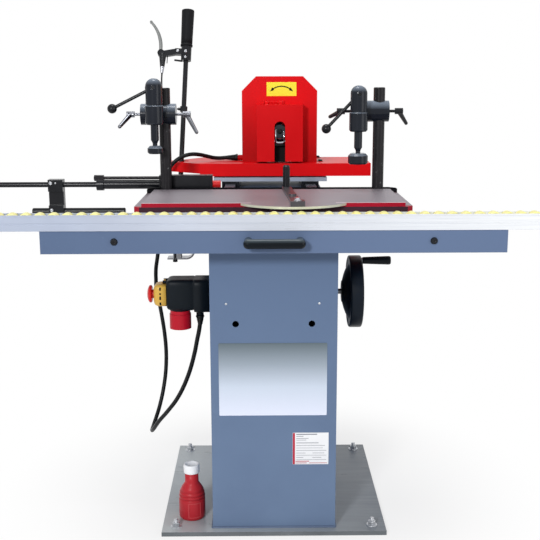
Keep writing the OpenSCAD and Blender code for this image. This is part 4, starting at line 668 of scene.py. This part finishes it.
def washerMeshes(kind):
    bore, wider, thick = screwSet["washer"].values()
    for spot, radius in zip(screwSet[kind]["places"], screwSet[kind]["radius"]):
        edge = radius + wider
        yield latheMesh([(bore, 0.0), (edge, 0.0), (edge, thick), (bore, thick)], standAt(spot), 32)


newPiece("stopScrews", screwMeshes("stop"), "zincSteel", "stop_plate")
newPiece("brakeScrews", screwMeshes("brake", base=leverFrame), "zincSteel", "lever")
newPiece("hoodBolts", [*screwMeshes("foot", 0), *washerMeshes("foot")], "blackSteel", "carriage")

# mains plug: a turned body with a white cap and a raised frame on its side
plugSet = dict(
    centre=(-0.224, -0.205), foot=0.012, radius=0.0358, panel=(-14.0, 44.0, 0.01, 0.053), rim=0.003, proud=0.0011,
    sunk=0.0008, cut=0.0004, longSteps=10, shortSteps=3, sides=56,
    body=((axisGap, 0.0), (0.03, 0.0), (0.0325, 0.0012), (0.0337, 0.0035), (0.0352, 0.0055), (0.0358, 0.008),
        (0.0358, 0.056), (0.035, 0.0575), (0.0332, 0.0582), (0.0332, 0.06), (0.0353, 0.0606), (0.0353, 0.066),
        (0.0343, 0.0672), (0.0326, 0.0678), (0.0326, 0.0694), (0.0345, 0.07), (0.0336, 0.076), (0.0312, 0.0775),
        (0.031, 0.079), (0.0324, 0.08), (0.027, 0.0905), (0.0212, 0.0985), (0.0193, 0.1015), (0.0186, 0.106),
        (0.0182, 0.132), (axisGap, 0.132)),
    cap=((axisGap, 0.13), (0.0206, 0.13), (0.0214, 0.1308), (0.0216, 0.133), (0.0216, 0.148), (0.0212, 0.152),
        (0.02, 0.154), (0.017, 0.154), (0.016, 0.151), (axisGap, 0.1505)))
plugStand = standAt((*plugSet["centre"], plugSet["foot"]))
plugBody = newPiece("plugBody", [latheMesh(plugSet["body"], plugStand, plugSet["sides"])], "plugRed", "loose_plug")
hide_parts("loose_plug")
newPiece("plugCap", [latheMesh(plugSet["cap"], plugStand, plugSet["sides"])], "capWhite", "loose_plug")


def curvedBar(spec, turn0, turn1, z0, z1, steps):
    cx, cy = spec["centre"]
    inside, outside = spec["radius"] - spec["sunk"], spec["radius"] + spec["proud"]
    profile = ((inside, z0), (outside, z0 + spec["cut"]), (outside, z1 - spec["cut"]), (inside, z1))
    turns = [radians(turn0 + (turn1 - turn0) * k / steps) for k in range(steps + 1)]
    foot = spec["foot"]
    return loftRings([[(cx + r * sin(a), cy - r * cos(a), foot + z) for r, z in profile] for a in turns])


def panelMeshes(spec):
    turn0, turn1, z0, z1 = spec["panel"]
    rim, rimTurn = spec["rim"], degrees(spec["rim"] / spec["radius"])
    for low in (z0, z1 - rim):
        yield curvedBar(spec, turn0, turn1, low, low + rim, spec["longSteps"])
    for start, end in ((turn0, turn0 + rimTurn), (turn1 - rimTurn, turn1)):
        yield curvedBar(spec, start, end, z0, z1, spec["shortSteps"])


newPiece("plugPanel", panelMeshes(plugSet), "panelRed", "loose_plug", smooth=False)

# switch: a rounded housing and a rounded lid with a row of slots, in place of the plain ones
switchSet = dict(
    y=-0.15, z=0.629, corners=9.0, lidCorners=6.0,
    sections=((-0.2842, 0.026, 0.029, 0.0022), (-0.2832, 0.0312, 0.035, 0.0022), (-0.2806, 0.0345, 0.0385, 0.0022),
        (-0.2762, 0.0363, 0.0404, 0.0022), (-0.27, 0.0371, 0.0413, 0.0022), (-0.214, 0.0374, 0.0417, 0.0022),
        (-0.2128, 0.0366, 0.0408, 0.0022), (-0.2112, 0.0366, 0.0408, 0.0022), (-0.21, 0.0404, 0.0434, 0.0),
        (-0.2085, 0.041, 0.044, 0.0), (-0.1678, 0.041, 0.044, 0.0)),
    collar=(-0.25, 0.585, 0.027, 0.012), gland=(-0.197, 0.569, 0.01, 0.018, 0.0065), hinge=(-0.29, 0.664),
    pin=0.0015, ear=(0.014, 0.002, 0.004), earEnd=-0.28, knuckle=(0.004, 0.011), leaf=(0.003, 0.657),
    lid=((-0.2846, 0.03), (-0.304, 0.03), (-0.3095, 0.029), (-0.3142, 0.0266), (-0.3172, 0.0228),
        (-0.3184, 0.0185)),
    wall=0.004, floor=0.003, mouth=(-0.2846, 0.026), hole=0.0123, holeEnds=(-0.3186, -0.314),
    slots=((0.648, 0.008), (0.635, 0.0046), (0.6235, 0.009), (0.608, 0.008)), slotX=(-0.3022, -0.2976),
    slotY=(-0.0303, -0.029))


def squareRing(x, half, tall, power, lift=0.0):
    cy, cz = switchSet["y"], switchSet["z"] + lift
    ring = []
    for turn in circleTurns(64):
        c, d = cos(turn), sin(turn)
        reach = (abs(c) ** power + abs(d) ** power) ** (-1 / power)
        ring.append(Vector((x, cy + half * reach * c, cz + tall * reach * d)))
    return ring


def hingePin(spec, radius, half):
    x, z = spec["hinge"]
    y0, y1 = spec["y"] - half, spec["y"] + half
    return latheMesh(rodProfile(radius, y1 - y0), standAt((x, y1, z), 90, "X"), 24)


def housingMeshes(spec):
    yield loftRings([squareRing(x, half, tall, spec["corners"], lift) for x, half, tall, lift in spec["sections"]])
    x, z, radius, tall = spec["collar"]
    yield latheMesh(rodProfile(radius, tall), standAt((x, spec["y"], z)), 48)
    x, z, radius, tall, bore = spec["gland"]
    yield latheMesh([(bore, 0.0), *rodProfile(radius, tall)[1:]], standAt((x, spec["y"], z)), 32)
    (x, z), (away, thick, reach) = spec["hinge"], spec["ear"]
    yield hingePin(spec, spec["pin"], away)
    for side in (-1, 1):
        y = spec["y"] + side * away
        yield slabMesh((x - reach, y - thick, z - reach), (spec["earEnd"], y + thick, z + reach))


def lidMeshes(spec):
    wall, hole, power = spec["wall"], spec["hole"], spec["lidCorners"]
    rings = [squareRing(x, half, half, power) for x, half in spec["lid"]]
    rings += [squareRing(x, hole, hole, 2.0) for x in spec["holeEnds"]]
    rings += [squareRing(x + spec["floor"], half - wall, half - wall, power) for x, half in reversed(spec["lid"][1:])]
    x, half = spec["mouth"]
    rings += [squareRing(x, half, half, power)]
    yield loftRings(rings, closed=True)
    (x, z), (radius, half), (reach, low) = spec["hinge"], spec["knuckle"], spec["leaf"]
    yield hingePin(spec, radius, half)
    yield slabMesh((x - radius, spec["y"] - half, low), (x + reach, spec["y"] + half, z))


def slotMeshes(spec):
    (left, right), (front, back) = spec["slotX"], spec["slotY"]
    for z, tall in spec["slots"]:
        yield slabMesh((left, spec["y"] + front, z - tall / 2), (right, spec["y"] + back, z + tall / 2))


housing = newPiece("switchShell", housingMeshes(switchSet), "blackPlastic", "stand")
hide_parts("switch_box")
lidShell = newPiece("lidShell", lidMeshes(switchSet), "lidYellow", "switch_lid")
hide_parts("switch_lid")
newPiece("lidSlots", slotMeshes(switchSet), "markBlack", "switch_lid", smooth=False)

# nuts on threaded studs at the corners of the floor plate, in place of the plain ones
nutSet = dict(
    reach=0.264, floor=0.012, turn=(0.3, 0.5),
    washer=((axisGap, 0.0), (0.015, 0.0), (0.015, 0.0018), (0.0144, 0.0024), (axisGap, 0.0024)),
    nut=((axisGap, 0.0024), (0.01023, 0.0024), (0.011, 0.0036), (0.011, 0.0117), (0.0099, 0.0129), (axisGap, 0.0129)),
    nutTop=0.0129, stud=0.006, studTop=0.0215, tip=0.0016, threads=5, threadDeep=0.0007, overlap=0.001)


def nutMeshes(spec):
    top, stud, studTop = spec["nutTop"], spec["stud"], spec["studTop"]
    thread = [(axisGap, top - spec["overlap"])]
    pitch = (studTop - top) / spec["threads"]
    for i in range(spec["threads"]):
        thread += [(stud - spec["threadDeep"], top + pitch * i), (stud, top + pitch * (i + 0.5))]
    thread += [(stud - spec["tip"], studTop), (axisGap, studTop)]
    first, step = spec["turn"]
    for k, (x, y) in enumerate([(a, b) for a in (-1, 1) for b in (-1, 1)]):
        spot = (x * spec["reach"], y * spec["reach"], spec["floor"])
        stand = Matrix.Translation(spot) @ Matrix.Rotation(first + step * k, 4, "Z")
        yield latheMesh(spec["washer"], stand, 32)
        yield latheMesh(spec["nut"], stand, 6)
        yield latheMesh(thread, stand, 24)


nuts = newPiece("levellingNuts", nutMeshes(nutSet), "zincSteel", "stand", smooth=False)
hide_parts("levelling_bolts")

# table: a painted highlight strip along its front edge, and the bare strips beside it
highlightStripSet = dict(spans=((-0.3298, -0.056), (0.156, 0.3298)), y=(-0.2799, -0.2735), z=(0.8888, 0.8902))
flangeSet = dict(spans=((-0.3499, -0.3301), (0.3301, 0.3499)), y=(-0.26, 0.006), z=(0.8798, 0.8803))
lipSet = dict(x=(-0.7499, 0.7499), spans=((-0.4, -0.397), (-0.363, -0.36)), z=(0.8748, 0.8785))


def stripMeshes(spec):
    for x0, x1 in spec["spans"]:
        yield slabMesh(*zip((x0, x1), spec["y"], spec["z"]))


newPiece("tableEdgeHighlight", stripMeshes(highlightStripSet), "edgeHighlight", "table", smooth=False)
newPiece("sideFlanges", stripMeshes(flangeSet), "groundSteel", "table", smooth=False)

# bolt in the lever bracket, and the lip of the roller rail
bracketSet = dict(
    spot=(-0.296, 0.235, 0.64), profile=((axisGap, 0.0), (0.00648, 0.0), (0.0072, 0.001), (0.0072, 0.0065),
        (0.0042, 0.0066), (0.0042, 0.032), (0.003, 0.0325), (axisGap, 0.0325)))
bolt = latheMesh(bracketSet["profile"], standAt(bracketSet["spot"]), 24)
newPiece("bracketBolt", [bolt], "blackSteel", "stand")
lips = [slabMesh(*zip(lipSet["x"], span, lipSet["z"])) for span in lipSet["spans"]]
newPiece("railLip", lips, "railAlloy", "roller_support", smooth=False)

# tapered sleeve of the lever's grip
sleeveProfile = [(0.0165, 0.6395), (0.0181, 0.64), (0.0182, 0.66), (0.0196, 0.74), (0.0196, 0.744),
                 (0.0186, 0.7456), (axisGap, 0.7456)]
newPiece("gripSleeve", [latheMesh(sleeveProfile, leverFrame)], "gripRubber", "lever")

# handwheel: a hub cone, and a flat rim with small round corners
wheelSet = dict(
    spot=(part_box("handwheel")[0].x, -0.06, 0.613), radius=0.1001, inner=0.089, corner=0.0045, start=0.0189,
    end=0.0539, cuts=5,
    hub=((0.0088, 0.0001), (0.028, 0.0001), (0.0296, 0.0007), (0.0306, 0.002), (0.048, 0.0066), (0.06, 0.0111),
        (0.067, 0.0146), (0.076, 0.0191), (0.078, 0.0208), (0.0088, 0.0208)))


def bandRings(spec):
    core, corner, start, end = spec["radius"] - spec["corner"], spec["corner"], spec["start"], spec["end"]
    turns = [radians(90 * k / spec["cuts"]) for k in range(spec["cuts"] + 1)]
    profile = [(spec["inner"], start)]
    profile += [(core + corner * sin(a), start + corner * (1 - cos(a))) for a in turns]
    profile += [(core + corner * cos(a), end - corner * (1 - sin(a))) for a in turns]
    profile += [(spec["inner"], end)]
    low, cy, cz = spec["spot"]
    turns = circleTurns(72)
    return [[Vector((low + x, cy + r * cos(a), cz - r * sin(a))) for a in turns] for r, x in profile]


hub = latheMesh(wheelSet["hub"], standAt(wheelSet["spot"], 90, "Y"), 56)
newPiece("wheelCone", [hub], "rimPlastic", "handwheel")
newPiece("wheelBand", [loftRings(bandRings(wheelSet), closed=True)], "rimPlastic", "handwheel")

# lever: a stub and a wire end beside the bracket, and the swelling of the brake blade
leverBits = dict(
    stub=((-0.012, 0.0, 0.584), (-0.036, 0.0, 0.586), 0.003), wire=((-0.058, -0.002, 0.598),
        (-0.0585, -0.002, 0.574), 0.0013))
bits = [tubeMesh([leverFrame @ Vector(a), leverFrame @ Vector(b)], radius, 12) for a, b, radius in leverBits.values()]
newPiece("leverStub", bits, "blackSteel", "lever")
bladeSet = dict(
    pivot=(-0.081, 0, 0.607), tilt=8, curve=0.113, half=0.0054, bevel=0.0013, steps=((3, 0.0047), (12, 0.0052),
        (22, 0.0053), (32, 0.0048), (42, 0.004), (52, 0.0033)))


def bladeRings(spec):  # rings of eight points, one for each degree of the blade's curve
    stand = leverFrame @ Matrix.Translation(spec["pivot"]) @ Matrix.Rotation(radians(spec["tilt"]), 4, "Y")
    half, bevel, curve, steps = spec["half"], spec["bevel"], spec["curve"], spec["steps"]
    for turn in range(steps[0][0], steps[-1][0] + 1):
        low, high = next((a, b) for a, b in zip(steps, steps[1:]) if a[0] <= turn <= b[0])
        thick = low[1] + (high[1] - low[1]) * (turn - low[0]) / (high[0] - low[0])
        c, d = cos(radians(turn)), sin(radians(turn))
        outline = ((-thick, bevel - half), (bevel - thick, -half), (thick - bevel, -half), (thick, bevel - half),
                   (thick, half - bevel), (thick - bevel, half), (bevel - thick, half), (-thick, half - bevel))
        yield [stand @ Vector(((curve + out) * c - curve, side, (curve + out) * d)) for out, side in outline]


newPiece("bladeSkin", [loftRings(list(bladeRings(bladeSet)))], "bladeSteel", "brake_blade")

# drilling head: the chuck's ring, chrome strips that stand in for highlights on the edges of the guard's slot, and a
# black plate behind it that stands in for shade
chuckSet = dict(axis=(0.026, 1.037), front=0.244, ring=0.0345, thick=0.0042)
chuckX, chuckZ = chuckSet["axis"]
ring, front = chuckSet["ring"], chuckSet["front"]
ringLine = [Vector((chuckX + ring * cos(a), front, chuckZ + ring * sin(a))) for a in circleTurns(64)]
newPiece("chuckRing", [tubeMesh(ringLine, chuckSet["thick"], 12, closed=True)], "chromeSteel", "chuck")
# painted highlight: chrome strips along the slot's edges, where there is only a highlight
slotHighlightSet = dict(y=0.2338, low=1.004, lines=((-0.0125, 1.044, 0.0022), (0.0125, 1.038, 0.0016)))
highlightStrips = [tubeMesh([Vector((chuckX + side, slotHighlightSet["y"], z)) for z in (slotHighlightSet["low"], high)], radius, 12)
          for side, high, radius in slotHighlightSet["lines"]]
newPiece("slotHighlightStrips", highlightStrips, "chromeSteel", "carriage")
# painted shade: a black sheet inside the guard, where the slot shows only shade
shadeSheetSet = dict(low=(-0.03, 0.2765, 0.9425), high=(0.082, 0.278, 0.986))
shadeSheet = slabMesh(shadeSheetSet["low"], shadeSheetSet["high"])
newPiece("slotShadeSheet", [shadeSheet], "markBlack", "carriage", smooth=False)

# weld bead round the foot of the column
beadSet = dict(low=0.0125, radius=0.0042, step=0.0035, wobble=0.0009, rough=160)


def beadLine(spec):
    low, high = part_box("column")
    spots = ((low.x, low.y), (high.x, low.y), (high.x, high.y), (low.x, high.y))
    corners = [Vector((x, y, spec["low"])) for x, y in spots]
    line = []
    for a, b in zip(corners, corners[1:] + corners[:1]):
        count = int((b - a).length / spec["step"])
        line += [a + (b - a) * (k / count) for k in range(count)]
    return line


def beadWidth(i):
    return beadSet["radius"] + beadSet["wobble"] * noise.noise(foot[i] * beadSet["rough"])


foot = beadLine(beadSet)
newPiece("footWeld", [tubeMesh(foot, beadWidth, 8, closed=True)], "beadPaint", "stand")
print("small pieces set")

# floor, world and lamps: the floor keeps its shadow near the part and fades to white
stageSet = dict(size=14.0, fadeStart=0.34, fadeEnd=0.85, near=0.72, dim=0.36, floor=(250, 250, 251))
white = (1, 1, 1, 1)
lampSet = dict(
    frontKey=dict(place=(-1.3, -3.7, 2.05), target=(0, 0, 0.75), size=(0.5, 0.5), power=86),
    rightFill=dict(place=(2.6, -2.0, 1.6), target=(0, 0, 0.7), size=(1.6, 2.0), power=20),
    topSoft=dict(place=(-0.2, 0.1, 3.4), target=(0, 0.1, 0.9), size=(0.9, 0.9), power=26))


def seenDirectly(tree):
    path = put(tree, "LightPath").outputs
    seen = math2(tree, "MAXIMUM", path["Is Camera Ray"], path["Is Glossy Ray"])
    return math2(tree, "MAXIMUM", seen, path["Is Transmission Ray"])


def makeFloor(spec):
    mesh = bpy.data.meshes.new("studioFloor")
    size = spec["size"]
    mesh.from_pydata([(-size, -size, 0), (size, -size, 0), (size, size, 0), (-size, size, 0)], [], [(0, 1, 2, 3)])
    floor = addObject("studioFloor", mesh)
    mat, tree = newMaterial("studioFloor")
    tree.nodes.clear()
    where = put(tree, "TexCoord").outputs["Object"]
    away = put(tree, "VectorMath", {0: where}, operation="LENGTH").outputs["Value"]
    ends = {"Value": away, "From Min": spec["fadeStart"], "From Max": spec["fadeEnd"]}
    fade = put(tree, "MapRange", ends, interpolation_type="SMOOTHSTEP").outputs["Result"]
    matte = put(tree, "BsdfDiffuse", {"Color": tone(*spec["floor"])}).outputs["BSDF"]
    glow = put(tree, "Emission", {"Color": white, "Strength": 1.0}).outputs["Emission"]
    share = math2(tree, "MULTIPLY", spread(tree, fade, 0.0, 1.0, spec["near"], 1.0), seenDirectly(tree))
    both = put(tree, "MixShader", {0: share, 1: matte, 2: glow}).outputs["Shader"]
    put(tree, "OutputMaterial", {"Surface": both})
    mesh.materials.append(mat)


def makeWorld(spec):
    world = bpy.data.worlds.new("studio")
    world.use_nodes = True
    scene.world = world
    tree = world.node_tree
    glow = tree.nodes["Background"].inputs
    feed(tree, glow["Color"], white)
    feed(tree, glow["Strength"], spread(tree, seenDirectly(tree), 0, 1, spec["dim"], 1.0))


def addLamp(name, spec):
    data = bpy.data.lights.new(name, "AREA")
    data.shape, data.energy = "RECTANGLE", spec["power"]
    data.size, data.size_y = spec["size"]
    lamp = addObject(name, data)
    lamp.location = spec["place"]
    lamp.rotation_euler = (Vector(spec["target"]) - Vector(spec["place"])).to_track_quat("-Z", "Y").to_euler()


makeFloor(stageSet)
makeWorld(stageSet)
for name, spec in lampSet.items():
    addLamp(name, spec)
print("stage lit")

print("sizes written")
